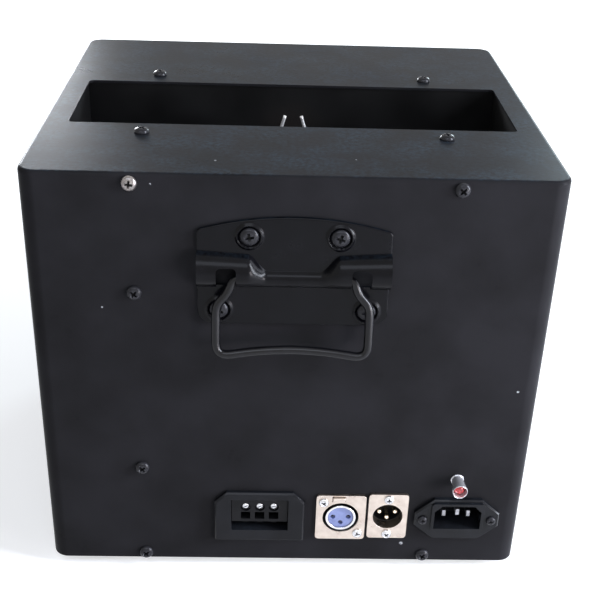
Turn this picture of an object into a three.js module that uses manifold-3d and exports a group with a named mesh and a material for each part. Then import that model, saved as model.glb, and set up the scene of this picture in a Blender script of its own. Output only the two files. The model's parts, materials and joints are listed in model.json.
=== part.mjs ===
// Stage flame machine: a sheet steel case with a flame slot in its top. The connector wall has a fold-down
// handle, an indicator lamp and a row of sockets, and the case holds the burner, its valve and its gas can.
// X runs along the connector wall, -Y faces a person in front of it, +Z is up. The origin is the middle of
// the case's underside, and the feet stand below it. Lengths are in millimetres.
import * as THREE from "three";
import { mergeVertices } from "three/addons/utils/BufferGeometryUtils.js";
import Module from "manifold-3d";

const wasm = await Module();
wasm.setup();

// The case
const caseWidth = 270;
const caseDepth = 240;
const caseHeight = 240;
const cornerRadius = 9;
const topBend = 2;
const sheet = 1.5;
const innerSheet = 1;

// The flame slot in the top
const slotSideMargin = 14;
const slotFrontMargin = 71;
const slotWidth = 75;
const slotCorner = 2.5;

// Clearances between pieces, and how far a cut runs past the face that it opens
const seat = 0.1;
const fitGap = 0.3;
const overrun = 1;

// Places that several pieces share
const halfWidth = caseWidth / 2;
const halfDepth = caseDepth / 2;
const slotLength = caseWidth - 2 * slotSideMargin;
const slotY = slotFrontMargin + slotWidth / 2 - halfDepth;
const quarterTurn = Math.PI / 2;

// Solids: closed three.js geometries, joined and cut
function solidOf(geometry) {
  const bare = geometry.clone();
  bare.deleteAttribute("normal");
  bare.deleteAttribute("uv");
  const merged = mergeVertices(bare);
  const corners = [];
  for (let i = 0; i < merged.index.count; i += 3) {
    const [a, b, c] = merged.index.array.slice(i, i + 3);
    if (a !== b && b !== c && c !== a) corners.push(a, b, c);
  }
  return new wasm.Manifold(
    new wasm.Mesh({
      numProp: 3,
      vertProperties: merged.attributes.position.array,
      triVerts: new Uint32Array(corners),
    }),
  );
}

function geometryOf(solid) {
  const mesh = solid.getMesh();
  const geometry = new THREE.BufferGeometry();
  geometry.setAttribute("position", new THREE.BufferAttribute(mesh.vertProperties, 3));
  geometry.setIndex(new THREE.BufferAttribute(mesh.triVerts, 1));
  geometry.computeVertexNormals();
  return geometry;
}

function joined(...geometries) {
  return geometries.map(solidOf).reduce((whole, part) => whole.add(part));
}

function cut(solid, ...geometries) {
  return geometries.map(solidOf).reduce((whole, tool) => whole.subtract(tool), solid);
}

// Basic shapes: a block between two values on each axis, an outline drawn out between two heights, a round
// bar or a cone along Z, and a profile of [radius, z] pairs turned about Z
function block([x0, x1], [y0, y1], [z0, z1]) {
  const geometry = new THREE.BoxGeometry(x1 - x0, y1 - y0, z1 - z0);
  return geometry.translate((x0 + x1) / 2, (y0 + y1) / 2, (z0 + z1) / 2);
}

function outlineOf(points) {
  return new THREE.Shape(points.map(([x, y]) => new THREE.Vector2(x, y)));
}

function mirroredOutline(points) {
  const others = points.map(([x, y]) => [-x, y]).reverse();
  return outlineOf([...points, ...others]);
}

function roundedRectangle(width, height, radius) {
  const x = width / 2 - radius;
  const y = height / 2 - radius;
  const outline = new THREE.Shape();
  outline.absarc(x, -y, radius, -quarterTurn, 0);
  outline.absarc(x, y, radius, 0, quarterTurn);
  outline.absarc(-x, y, radius, quarterTurn, 2 * quarterTurn);
  outline.absarc(-x, -y, radius, 2 * quarterTurn, 3 * quarterTurn);
  return outline;
}

function slab(outline, [z0, z1], curveSegments = 5) {
  const geometry = new THREE.ExtrudeGeometry(outline, {
    depth: z1 - z0,
    bevelEnabled: false,
    curveSegments,
  });
  return geometry.translate(0, 0, z0);
}

// An outline drawn out from z0 to z1 with its far edges rounded or chamfered
function crownedSlab(outline, [z0, z1], bevel, bevelSegments, curveSegments = 5) {
  const geometry = new THREE.ExtrudeGeometry(outline, {
    depth: z1 - z0,
    bevelThickness: bevel,
    bevelSize: bevel,
    bevelOffset: -bevel,
    bevelSegments,
    curveSegments,
  });
  geometry.translate(0, 0, z0 - bevel);
  geometry.computeBoundingBox();
  const { min, max } = geometry.boundingBox;
  const below = block(
    [min.x - overrun, max.x + overrun],
    [min.y - overrun, max.y + overrun],
    [min.z - overrun, z0],
  );
  return cut(solidOf(geometry), below);
}

function cone(lowRadius, highRadius, [z0, z1], segments = 16) {
  const geometry = new THREE.CylinderGeometry(highRadius, lowRadius, z1 - z0, segments);
  return geometry.rotateX(quarterTurn).translate(0, 0, (z0 + z1) / 2);
}

function bar(radius, heights, segments = 16) {
  return cone(radius, radius, heights, segments);
}

function turned(profile, segments = 16) {
  const points = profile.map(([radius, z]) => new THREE.Vector2(radius, z));
  return new THREE.LatheGeometry(points, segments).rotateX(quarterTurn);
}

// A round rod or pipe along straight stretches between points, each corner rounded over the length of a bend
function rodAlong(points, radius, bend, sides, steps) {
  const stops = points.map((point) => new THREE.Vector3(...point));
  const path = new THREE.CurvePath();
  let from = stops[0];
  for (let i = 1; i < stops.length - 1; i += 1) {
    const before = stops[i - 1].clone().sub(stops[i]);
    const after = stops[i + 1].clone().sub(stops[i]);
    const reach = Math.min(bend, before.length() / 2, after.length() / 2);
    const curveStart = stops[i].clone().addScaledVector(before.normalize(), reach);
    const curveEnd = stops[i].clone().addScaledVector(after.normalize(), reach);
    if (curveStart.distanceTo(from) > 0) path.add(new THREE.LineCurve3(from, curveStart));
    path.add(new THREE.QuadraticBezierCurve3(curveStart, stops[i], curveEnd));
    from = curveEnd;
  }
  path.add(new THREE.LineCurve3(from, stops.at(-1)));
  const section = [];
  for (let i = 0; i < sides; i += 1) {
    const angle = (2 * Math.PI * i) / sides;
    section.push([radius * Math.cos(angle), radius * Math.sin(angle)]);
  }
  return new THREE.ExtrudeGeometry(outlineOf(section), { steps, extrudePath: path, bevelEnabled: false });
}

// Finishes
function finish(color, roughness, metalness) {
  return new THREE.MeshStandardMaterial({ color, roughness, metalness });
}

const powderCoat = () => finish(0x242427, 0.55, 0.2);
const blackMoulding = () => finish(0x17171a, 0.4, 0);
const blackRubber = () => finish(0x141414, 0.85, 0);
const blackSteel = () => finish(0x1c1c20, 0.35, 0.6);
const zincSteel = () => finish(0xb9b9b4, 0.35, 1);
const scorchedSteel = () => finish(0x2b2a2b, 0.6, 0.7);
const champagneNickel = () => finish(0xd9c09e, 0.3, 1);
const brass = () => finish(0xb8934a, 0.35, 1);
const whiteCeramic = () => finish(0xe6e1d6, 0.5, 0);

// The part, and a frame on each wall: x to the right and y up as seen from outside, z out of the wall
const machine = new THREE.Group();
machine.name = "stage_flame_machine";

function wallFrame(x, y, z, turnX, turnZ) {
  const frame = new THREE.Group();
  frame.rotation.set(turnX, 0, turnZ, "ZYX");
  frame.position.set(x, y, z);
  frame.updateMatrix();
  machine.add(frame);
  return frame;
}

const frontWall = wallFrame(0, -halfDepth, 0, quarterTurn, 0);
const backWall = wallFrame(0, halfDepth, 0, quarterTurn, 2 * quarterTurn);
const leftWall = wallFrame(-halfWidth, 0, 0, quarterTurn, -quarterTurn);
const topWall = wallFrame(0, 0, caseHeight, 0, 0);

// Holes collected for the sheet pieces behind each wall, made when those pieces are
const coverHoles = [];
const deckHoles = [];
const trayHoles = [];
const partitionHoles = [];

function inCase(geometry, frame) {
  return geometry.applyMatrix4(frame.matrix);
}

function addPiece(name, shape, material, parent = machine, position = [0, 0, 0]) {
  const geometry = shape.isBufferGeometry ? shape : geometryOf(shape);
  const mesh = new THREE.Mesh(geometry, material);
  mesh.name = name;
  mesh.position.set(...position);
  parent.add(mesh);
  return mesh;
}

// Screws: a domed pan head on a plain shank, the head's seat at z = 0
const caseScrew = { head: 4, rise: 2.6, shank: 2, length: 8 };
const handleScrew = { head: 4.75, rise: 2.2, shank: 2.5, length: 9 };
const panelScrew = { head: 2.8, rise: 1.8, shank: 1.5, length: 7 };
const headShoulderShare = 0.45;
const headCrownShare = 0.6;
const screwSides = 10;

function screwShape({ head, rise, shank, length }) {
  return turned(
    [
      [0, -length],
      [shank, -length],
      [shank, 0],
      [head, 0],
      [head, rise * headShoulderShare],
      [head * headCrownShare, rise],
      [0, rise],
    ],
    screwSides,
  );
}

function addScrew(name, kind, material, frame, [x, y, z]) {
  addPiece(name, screwShape(kind), material, frame, [x, y, z + seat]);
}

function screwHole(kind, frame, [x, y]) {
  const hole = bar(kind.shank + fitGap, [-kind.length - overrun, overrun], screwSides);
  return inCase(hole.translate(x, y, 0), frame);
}

// Gas can: a tinned aerosol can with a crimped valve cup, standing in the left bay
const canRadius = 26;
const canBody = 150;
const canShoulder = 12;
const canCup = 4;
const canStem = 6;
const canCupRadius = 12.5;
const canStemRadius = 2;
const canSeam = 1;
const canWall = 0.6;
const canStemBore = 1;
const canToTrough = 12;
const clipSheet = 1.2;
const bayMargin = 1.75;

// The bay is as wide as the can and its clip need, and a partition stands beside it
const bayWidth = 2 * (canRadius + fitGap + clipSheet + bayMargin);
const canX = bayWidth / 2 + sheet - halfWidth;
const partitionX = sheet + bayWidth - halfWidth;
const partitionFlange = 14;
const screwColumn = -(partitionX + sheet - partitionFlange / 2);
const troughGap = 1;
const troughBack = slotY + slotWidth / 2 + troughGap + innerSheet;
const canY = troughBack + canToTrough + canRadius;
const canFloor = sheet + seat;

const canCupFoot = canBody + canShoulder;
const canCupTop = canCupFoot + canCup;

addPiece(
  "gas_can",
  turned(
    [
      [0, 0],
      [canRadius - canSeam, 0],
      [canRadius, canSeam],
      [canRadius, canBody],
      [canCupRadius, canCupFoot],
      [canCupRadius, canCupTop],
      [canStemRadius, canCupTop],
      [canStemRadius, canCupTop + canStem],
      [canStemBore, canCupTop + canStem],
      [canStemBore, canCupTop - canWall],
      [canCupRadius - canWall, canCupTop - canWall],
      [canCupRadius - canWall, canCupFoot],
      [canRadius - canWall, canBody],
      [canRadius - canWall, canSeam],
      [canRadius - canSeam, canWall],
      [0, canWall],
    ],
    20,
  ),
  finish(0xc9c6bd, 0.35, 0.8),
  machine,
  [canX, canY, canFloor],
);
const canTop = canFloor + canCupTop;

// Valve adapter: a brass cap that presses on the can's stem and feeds the gas pipe at its side
const adapterRadius = 13;
const adapterHeight = 20;
const adapterPort = 12;
const pipeRadius = 2.5;
const portDepth = 5;
const pipeInPort = 4;
const stemSocket = canStem + fitGap + seat;

const adapterBody = bar(adapterRadius, [0, adapterHeight], 16);
const adapterSocket = bar(canStemRadius + fitGap, [-overrun, stemSocket], 10);
const adapterBore = bar(pipeRadius + fitGap, [adapterRadius - portDepth, adapterRadius + overrun], 10)
  .rotateY(quarterTurn)
  .translate(0, 0, adapterPort);
const adapterPassage = bar(canStemRadius, [0, adapterRadius - portDepth + overrun], 8)
  .rotateY(quarterTurn)
  .translate(0, 0, adapterPort);
const adapterRiser = bar(canStemRadius, [stemSocket - overrun, adapterPort], 8);
addPiece(
  "can_valve_adapter",
  cut(joined(adapterBody), adapterSocket, adapterBore, adapterPassage, adapterRiser),
  brass(),
  machine,
  [canX, canY, canTop + seat],
);

// Can clip: a spring steel band round the can, open towards the door, with a tab on the partition
const clipHeight = 20;
const clipLevel = 100;
const clipTabWidth = 24;
const clipMouthShare = 0.6;
const clipOuter = canRadius + fitGap + clipSheet;

const clipBand = bar(clipOuter, [0, clipHeight], 28);
const clipTab = block(
  [canRadius, partitionX - seat - canX],
  [-clipTabWidth / 2, clipTabWidth / 2],
  [0, clipHeight],
);
const clipBore = bar(canRadius + fitGap, [-overrun, clipHeight + overrun], 28);
const clipMouth = block(
  [-clipOuter - overrun, -clipOuter * clipMouthShare],
  [-clipOuter, clipOuter],
  [-overrun, clipHeight + overrun],
);
addPiece("can_clip", cut(joined(clipBand, clipTab), clipBore, clipMouth), zincSteel(), machine, [
  canX,
  canY,
  clipLevel,
]);

// Burner deck: a folded sheet under the top with a lip at the front and the flame trough welded in
const troughDepth = 62;
const deckLip = 9;
const deckLipEnd = 18;
const topScrewDrop = 5.2;
const topScrewToSlot = 14;
const deckTop = caseHeight - sheet - seat;
const innerHalfWidth = halfWidth - sheet - fitGap;
const innerHalfDepth = halfDepth - sheet - fitGap;
const innerCorner = cornerRadius - sheet - fitGap;
const innerOutline = roundedRectangle(2 * innerHalfWidth, 2 * innerHalfDepth, innerCorner);
const troughHalfX = slotLength / 2 + troughGap;
const troughHalfY = slotWidth / 2 + troughGap;
const troughUnder = deckTop - troughDepth;
const troughFloor = troughUnder + innerSheet;
const lipHalf = screwColumn + deckLipEnd;

const nozzleStemRadius = 4;
const electrodeX = 13;
const electrodeRadius = 1;
const leadRadius = 1.75;

// Nozzle: a turned brass jet on a hexagon, its stem screwed through the trough's floor into the valve
const nozzleHex = 8;
const nozzleHexHeight = 6;
const nozzleHeight = 30;
const nozzleTip = 2.6;
const nozzleBase = 5.5;
const nozzleBore = 1.1;
const nozzleStem = 9;
addPiece(
  "nozzle",
  cut(
    joined(
      bar(nozzleStemRadius, [-nozzleStem, 0], 12),
      bar(nozzleHex, [0, nozzleHexHeight], 6),
      cone(nozzleBase, nozzleTip, [nozzleHexHeight, nozzleHeight], 14),
    ),
    bar(nozzleBore, [-nozzleStem - overrun, nozzleHeight + overrun], 8),
  ),
  brass(),
  machine,
  [0, slotY, troughFloor + seat],
);
const troughSheet = [troughUnder - overrun, troughFloor + overrun];
deckHoles.push(bar(nozzleStemRadius + fitGap, troughSheet, 12).translate(0, slotY, 0));

// Electrode block: white ceramic on the trough's floor, a ring round the nozzle and a post for each electrode
const ceramicFoot = 6;
const ceramicHalfY = 10;
const ceramicEnd = 7;
const postRadius = 4.5;
const postHeight = 24;
const ceramicBore = nozzleHex + fitGap;
const ceramicCorner = 3;

const ceramicOutline = roundedRectangle(2 * (electrodeX + ceramicEnd), 2 * ceramicHalfY, ceramicCorner);
const ceramicBase = slab(ceramicOutline, [0, ceramicFoot], 2);
const ceramicThrough = [-overrun, postHeight + overrun];
const ceramicPosts = [-1, 1].map((side) =>
  bar(postRadius, [0, postHeight], 12).translate(side * electrodeX, 0, 0),
);
const ceramicBores = [-1, 1].map((side) =>
  bar(electrodeRadius + fitGap, ceramicThrough, 8).translate(side * electrodeX, 0, 0),
);
addPiece(
  "electrode_block",
  cut(joined(ceramicBase, ...ceramicPosts), bar(ceramicBore, ceramicThrough, 14), ...ceramicBores),
  whiteCeramic(),
  machine,
  [0, slotY, troughFloor + seat],
);

// Electrodes: steel rods that rise straight out of their posts and lean in to the spark gap over the nozzle
const electrodeTipX = 4.65;
const electrodeTipDrop = 6.8;
const electrodeStraight = 3.6;
const electrodeTail = 5;
const electrodeTipZ = caseHeight - electrodeTipDrop;
const electrodeBend = troughFloor + postHeight + electrodeStraight;
const bendStep = 2;
const leadHole = leadRadius + fitGap;
const sides = [
  ["left", -1],
  ["right", 1],
];
for (const [word, side] of sides) {
  const route = [
    [side * electrodeX, slotY, troughUnder - electrodeTail],
    [side * electrodeX, slotY, electrodeBend],
    [side * electrodeTipX, slotY, electrodeTipZ],
  ];
  addPiece(`electrode_${word}`, rodAlong(route, electrodeRadius, bendStep, 8, 12), zincSteel());
  const hole = bar(leadHole, troughSheet, 10);
  deckHoles.push(hole.translate(side * electrodeX, slotY, 0));
}

// Gas valve: a brass valve block under the trough, its coil below, and a plunger that drops to let gas pass
const valveHalfX = 9;
const valveHalf = 12;
const valveHeight = 20;
const coilHalf = 14;
const coilHeight = 38;
const plungerRadius = 5;
const plungerLength = 26;
const plungerTravel = 2.5;
const orifice = 1.2;
const inletPassage = 0.9;
const seatWall = 3;
const inletDrop = 3;
const valveTop = troughUnder - seat;
const valveUnder = valveTop - valveHeight;
const coilUnder = valveUnder - coilHeight;
const portRadius = nozzleStemRadius + fitGap;
const portFloor = troughFloor + seat - nozzleStem - fitGap;
const valveSeatZ = portFloor - seatWall;
const inletZ = valveSeatZ - inletDrop;
const plungerFloor = valveSeatZ - plungerLength - plungerTravel - fitGap;

addPiece(
  "gas_valve",
  cut(
    joined(
      block([-valveHalfX, valveHalfX], [-valveHalf, valveHalf], [valveUnder - overrun, valveTop]),
      block([-coilHalf, coilHalf], [-coilHalf, coilHalf], [coilUnder, valveUnder]),
    ),
    bar(portRadius, [portFloor, valveTop + overrun], 12),
    bar(orifice, [valveSeatZ - overrun, portFloor + overrun], 8),
    bar(plungerRadius + fitGap, [plungerFloor, valveSeatZ], 14),
    bar(orifice, [coilUnder - overrun, plungerFloor + overrun], 8),
    bar(pipeRadius + fitGap, [valveHalf - portDepth, valveHalf + overrun], 10)
      .rotateX(-quarterTurn)
      .translate(0, 0, inletZ),
    bar(inletPassage, [plungerRadius, valveHalf - portDepth + overrun], 8)
      .rotateX(-quarterTurn)
      .translate(0, 0, inletZ),
  ),
  blackMoulding(),
  machine,
  [0, slotY, 0],
);
addPiece("valve_plunger", bar(plungerRadius, [-plungerLength, 0], 14), zincSteel(), machine, [
  0,
  slotY,
  valveSeatZ - seat,
]);

// Gas pipe: bent copper pipe from the adapter, through the partition and down to the valve's inlet
const pipeStart = canX + adapterRadius - pipeInPort;
const pipeZ = canTop + seat + adapterPort;
const pipeEndY = slotY + valveHalf - pipeInPort;
const pipeLead = 18;
const pipeGrommet = 2;
const pipeBend = 12;
addPiece(
  "gas_pipe",
  rodAlong(
    [
      [pipeStart, canY, pipeZ],
      [partitionX + sheet / 2, canY, pipeZ],
      [partitionX + pipeLead, canY, pipeZ],
      [-2 * pipeLead, canY - pipeLead / 2, (pipeZ + inletZ) / 2],
      [-pipeLead / 2, troughBack + pipeLead / 2, inletZ],
      [0, troughBack - pipeLead / 2, inletZ],
      [0, slotY + valveHalf + overrun, inletZ],
      [0, pipeEndY, inletZ],
    ],
    pipeRadius,
    pipeBend,
    8,
    30,
  ),
  finish(0xb87344, 0.35, 1),
);
partitionHoles.push(
  bar(pipeRadius + pipeGrommet, [-overrun, sheet + overrun], 12)
    .rotateY(quarterTurn)
    .translate(partitionX, canY, pipeZ),
);

// Partition: a folded sheet beside the can bay, notched round the trough, its flange screwed to the front
const trayFlange = 12;
const partitionFoot = 12;
const troughFrontEdge = slotY - troughHalfY - innerSheet - 2 * overrun;
const troughBackEdge = troughBack + 2 * overrun;
const troughNotch = troughUnder - 2 * overrun;
const partitionLow = trayFlange + overrun;
const partitionHigh = deckTop - deckLip - overrun;
const partitionTop = deckTop - innerSheet - seat;
const trayInner = innerHalfDepth - sheet - overrun;
const columnScrewLow = 65.3;
const columnScrewHigh = 175.3;

// Drawn in the plane of Y and Z, then turned upright
const partitionOutline = outlineOf([
  [-trayInner, sheet + seat],
  [trayInner, sheet + seat],
  [trayInner, partitionTop],
  [troughBackEdge, partitionTop],
  [troughBackEdge, troughNotch],
  [troughFrontEdge, troughNotch],
  [troughFrontEdge, partitionTop],
  [-trayInner, partitionTop],
]);
const partitionPlate = slab(partitionOutline, [0, sheet])
  .rotateX(quarterTurn)
  .rotateZ(quarterTurn)
  .translate(partitionX, 0, 0);
const partitionFlangeStrip = block(
  [partitionX + sheet - partitionFlange, partitionX + sheet],
  [-innerHalfDepth, sheet - innerHalfDepth],
  [partitionLow, partitionHigh],
);
const partitionNeck = block(
  [partitionX, partitionX + sheet],
  [-innerHalfDepth, overrun - trayInner],
  [partitionLow, partitionHigh],
);
const partitionFootStrip = block(
  [partitionX, partitionX + partitionFoot],
  [-trayInner, trayInner],
  [sheet + seat, 2 * sheet + seat],
);
for (const [word, z] of [
  ["lower", columnScrewLow],
  ["upper", columnScrewHigh],
]) {
  addScrew(`column_screw_${word}`, caseScrew, blackSteel(), frontWall, [-screwColumn, z, 0]);
  coverHoles.push(screwHole(caseScrew, frontWall, [-screwColumn, z]));
  partitionHoles.push(screwHole(caseScrew, frontWall, [-screwColumn, z]));
}
addPiece(
  "partition",
  cut(joined(partitionPlate, partitionFlangeStrip, partitionNeck, partitionFootStrip), ...partitionHoles),
  zincSteel(),
);

// Case screws: two at the head of the front wall, two at the foot of the front and back walls, and four in
// the top beside the slot
const bottomScrewRise = 4.3;
const topScrewZ = caseHeight - topScrewDrop;
for (const [word, side] of sides) {
  const x = side * screwColumn;
  const wornFirst = side < 0 ? zincSteel() : blackSteel();
  addScrew(`front_top_screw_${word}`, caseScrew, wornFirst, frontWall, [x, topScrewZ, 0]);
  coverHoles.push(screwHole(caseScrew, frontWall, [x, topScrewZ]));
  deckHoles.push(screwHole(caseScrew, frontWall, [x, topScrewZ]));
  for (const [place, wall] of [
    ["front", frontWall],
    ["back", backWall],
  ]) {
    addScrew(`${place}_bottom_screw_${word}`, caseScrew, blackSteel(), wall, [x, bottomScrewRise, 0]);
    coverHoles.push(screwHole(caseScrew, wall, [x, bottomScrewRise]));
    trayHoles.push(screwHole(caseScrew, wall, [x, bottomScrewRise]));
  }
  for (const [place, end] of [
    ["near", -1],
    ["far", 1],
  ]) {
    const y = slotY + end * (slotWidth / 2 + topScrewToSlot);
    addScrew(`top_screw_${place}_${word}`, caseScrew, blackSteel(), topWall, [x, y, 0]);
    coverHoles.push(screwHole(caseScrew, topWall, [x, y]));
    deckHoles.push(screwHole(caseScrew, topWall, [x, y]));
  }
}

const deckSheet = slab(innerOutline, [deckTop - innerSheet, deckTop]);
const deckLipStrip = block(
  [-lipHalf, lipHalf],
  [-innerHalfDepth, innerSheet - innerHalfDepth],
  [deckTop - deckLip, deckTop - innerSheet / 2],
);
const troughShell = block(
  [-troughHalfX - innerSheet, troughHalfX + innerSheet],
  [slotY - troughHalfY - innerSheet, troughBack],
  [troughUnder, deckTop - innerSheet / 2],
);
const troughPocket = block(
  [-troughHalfX, troughHalfX],
  [slotY - troughHalfY, slotY + troughHalfY],
  [troughFloor, deckTop + overrun],
);
addPiece(
  "burner_deck",
  cut(joined(deckSheet, deckLipStrip, troughShell), troughPocket, ...deckHoles),
  scorchedSteel(),
);

// Feet: moulded rubber buttons, each in a coined recess with its barbed stud pushed through the base tray
const footHeight = 6;
const footRadius = 10;
const footInset = 22;
const footNeck = 3;
const footBarb = 3.9;
const footBarbHeight = 4;
const footDraft = 1.2;
const footRecess = 0.5;
for (const [word, side] of sides) {
  for (const [place, end] of [
    ["front", -1],
    ["back", 1],
  ]) {
    const x = side * (halfWidth - footInset);
    const y = end * (halfDepth - footInset);
    const barbZ = sheet + seat;
    addPiece(
      `foot_${place}_${word}`,
      turned(
        [
          [0, -footHeight],
          [footRadius - footDraft, -footHeight],
          [footRadius, footRecess - seat],
          [footNeck, footRecess - seat],
          [footNeck, barbZ],
          [footBarb, barbZ],
          [footNeck - footDraft, barbZ + footBarbHeight],
          [0, barbZ + footBarbHeight],
        ],
        14,
      ),
      blackRubber(),
      machine,
      [x, y, 0],
    );
    trayHoles.push(bar(footNeck + fitGap, [-overrun, sheet + overrun], 12).translate(x, y, 0));
    trayHoles.push(bar(footRadius + fitGap, [-overrun, footRecess], 14).translate(x, y, 0));
  }
}

// Base tray: folded sheet with an upstand all round, closing the case from below
const trayInsideWidth = 2 * (innerHalfWidth - sheet);
const trayInsideDepth = 2 * (innerHalfDepth - sheet);
const trayCavity = roundedRectangle(trayInsideWidth, trayInsideDepth, innerCorner - sheet);
addPiece(
  "base_tray",
  cut(
    solidOf(slab(innerOutline, [0, trayFlange])),
    slab(trayCavity, [sheet, trayFlange + overrun]),
    ...trayHoles,
  ),
  zincSteel(),
);

// Power supply: a folded sheet cage with a raised lid, on the base tray behind the mains inlet
const supplyWidth = 84;
const supplyDepth = 108;
const supplyHeight = 36;
const supplyToWall = 8;
const supplyLid = 1.2;
const supplyTerminal = 12;
const supplyX = innerHalfWidth - sheet - supplyToWall - supplyWidth / 2;
const supplySpan = [-supplyWidth / 2, supplyWidth / 2];
addPiece(
  "power_supply",
  joined(
    block(supplySpan, [supplyTerminal - supplyDepth / 2, supplyDepth / 2], [0, supplyHeight]),
    block(supplySpan, [-supplyDepth / 2, supplyDepth / 2], [0, supplyTerminal]),
    block(
      [-supplyWidth / 2 + supplyTerminal, supplyWidth / 2 - supplyTerminal],
      [-supplyDepth / 2 + 2 * supplyTerminal, supplyDepth / 2 - supplyTerminal],
      [supplyHeight - overrun, supplyHeight + supplyLid],
    ),
  ),
  finish(0xb7b8ba, 0.45, 0.9),
  machine,
  [supplyX, 0, sheet + seat],
);

// Control board: a circuit board on four posts between the partition and the power supply, with a row of
// relays along its back, a processor and two capacitors
const boardToSupply = 2.7;
const boardDepth = 64;
const boardSheet = 1.6;
const boardPost = 8;
const boardPostRadius = 2.5;
const boardEdge = 5;
const boardToPartition = 16;
const boardToFront = 31;
const relayWidth = 19;
const relayDepth = 15;
const relayHeight = 15;
const chipSize = 12;
const chipHeight = 2;
const capacitorRadius = 6;
const capacitorHeight = 18;
const boardLeft = partitionX + boardToPartition;
const boardWidth = supplyX - supplyWidth / 2 - boardToSupply - boardLeft;
const boardTop = boardPost + boardSheet;
const boardRight = boardWidth / 2 - boardEdge;
const boardBack = boardDepth / 2 - boardEdge;
const boardParts = [
  block([-boardWidth / 2, boardWidth / 2], [-boardDepth / 2, boardDepth / 2], [boardPost, boardTop]),
];
for (const [x, y] of [
  [-1, -1],
  [-1, 1],
  [1, -1],
  [1, 1],
]) {
  const post = bar(boardPostRadius, [0, boardPost + boardSheet / 2], 8);
  boardParts.push(post.translate(x * boardRight, y * boardBack, 0));
}
const relayPitch = relayWidth + boardEdge;
for (let right = boardRight - boardEdge; right - relayPitch > -boardRight; right -= relayPitch) {
  const relay = block(
    [right - relayWidth, right],
    [-relayDepth / 2, relayDepth / 2],
    [boardTop - overrun, boardTop + relayHeight],
  );
  boardParts.push(relay.translate(0, boardBack - boardEdge - relayDepth / 2, 0));
}
const chip = block(
  [-chipSize / 2, chipSize / 2],
  [-boardBack, chipSize - boardBack],
  [boardTop - overrun, boardTop + chipHeight],
);
boardParts.push(chip);
for (const row of [0, 1]) {
  const capacitor = bar(capacitorRadius, [boardTop - overrun, boardTop + capacitorHeight], 12);
  const x = boardRight - capacitorRadius - row * (2 * capacitorRadius + chipHeight);
  boardParts.push(capacitor.translate(x, -chipSize, 0));
}
addPiece("control_board", joined(...boardParts), finish(0x2e6b3d, 0.5, 0), machine, [
  boardLeft + boardWidth / 2,
  boardToFront + boardDepth / 2 - innerHalfDepth,
  sheet + seat,
]);

// Ignition module: a potted high-voltage block with an output boss for each lead
const moduleWidth = 62;
const moduleDepth = 42;
const moduleHeight = 28;
const moduleCorner = 3;
const moduleX = -18;
const moduleToBack = 44;
const bossRadius = 4;
const bossRise = 7;
const bossHalf = 12;
const moduleY = innerHalfDepth - moduleToBack - moduleDepth / 2;
const bossTop = moduleHeight + bossRise;
const outputBosses = [-1, 1].map((side) =>
  bar(bossRadius, [moduleHeight - overrun, bossTop], 12).translate(side * bossHalf, 0, 0),
);
addPiece(
  "ignition_module",
  joined(
    slab(roundedRectangle(moduleWidth, moduleDepth, moduleCorner), [0, moduleHeight], 3),
    ...outputBosses,
  ),
  blackMoulding(),
  machine,
  [moduleX, moduleY, sheet + seat],
);

// Ignition leads: silicone-covered wire from the module's bosses up to the tails of the electrodes
const leadRise = 40;
const leadTurn = 10;
const leadWide = 12;
const leadBend = 12;
for (const [word, side] of sides) {
  const start = moduleX + side * bossHalf;
  const startZ = sheet + seat + bossTop + fitGap;
  const endZ = troughUnder - electrodeTail - fitGap;
  const wideX = side * (coilHalf + leadWide);
  addPiece(
    `ignition_lead_${word}`,
    rodAlong(
      [
        [start, moduleY, startZ],
        [start, moduleY, startZ + leadTurn],
        [(start + wideX) / 2, moduleY - leadTurn, startZ + leadRise],
        [wideX, (moduleY + slotY) / 2, (startZ + endZ) / 2],
        [wideX, slotY + leadTurn, endZ - leadRise / 2],
        [side * electrodeX, slotY, endZ - leadTurn / 2],
        [side * electrodeX, slotY, endZ],
      ],
      leadRadius,
      leadBend,
      8,
      26,
    ),
    finish(0xa03a2e, 0.6, 0),
  );
}

// The row of sockets, placed in turn from the mains inlet at the right
const rowHeight = 32.6;
const maleLift = 1.1;
const inletToSide = 37.3;
const maleToInlet = 39.6;
const femaleToMale = 26.9;
const terminalToFemale = 46.3;
const inletX = halfWidth - inletToSide;
const maleX = inletX - maleToInlet;
const femaleX = maleX - femaleToMale;
const terminalX = femaleX - terminalToFemale;

// Cuts the wall's own opening for a socket at its centre
function openWall(geometry, x, lift = 0) {
  coverHoles.push(inCase(geometry.translate(x, rowHeight + lift, 0), frontWall));
}

function wallDepths(behind = sheet) {
  return [-behind - overrun, overrun];
}

// Mains inlet: a black moulding with a screw flange, a shrouded cavity and three blades
const inletEar = 24.3;
const inletEarHalf = 4.5;
const inletTopHalf = 13.6;
const inletHalfHeight = 14;
const inletFlange = 3;
const inletBevel = 0.8;
const shroudWidth = 30;
const shroudHeight = 19.4;
const shroudLift = 3;
const shroudRise = 1.8;
const shroudCorner = 2;
const cavityWidth = 26.6;
const cavityHeight = 16;
const cavityCut = 4;
const cavityDepth = 16;
const inletFloor = 2;
const bladeWidth = 2;
const bladeHeight = 4;
const bladePitch = 7;
const liveDrop = 1.2;
const liveRecess = 5.7;
const earthLift = 2.4;
const earthRecess = 2.5;
const inletScrewHalf = 19.6;

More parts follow.
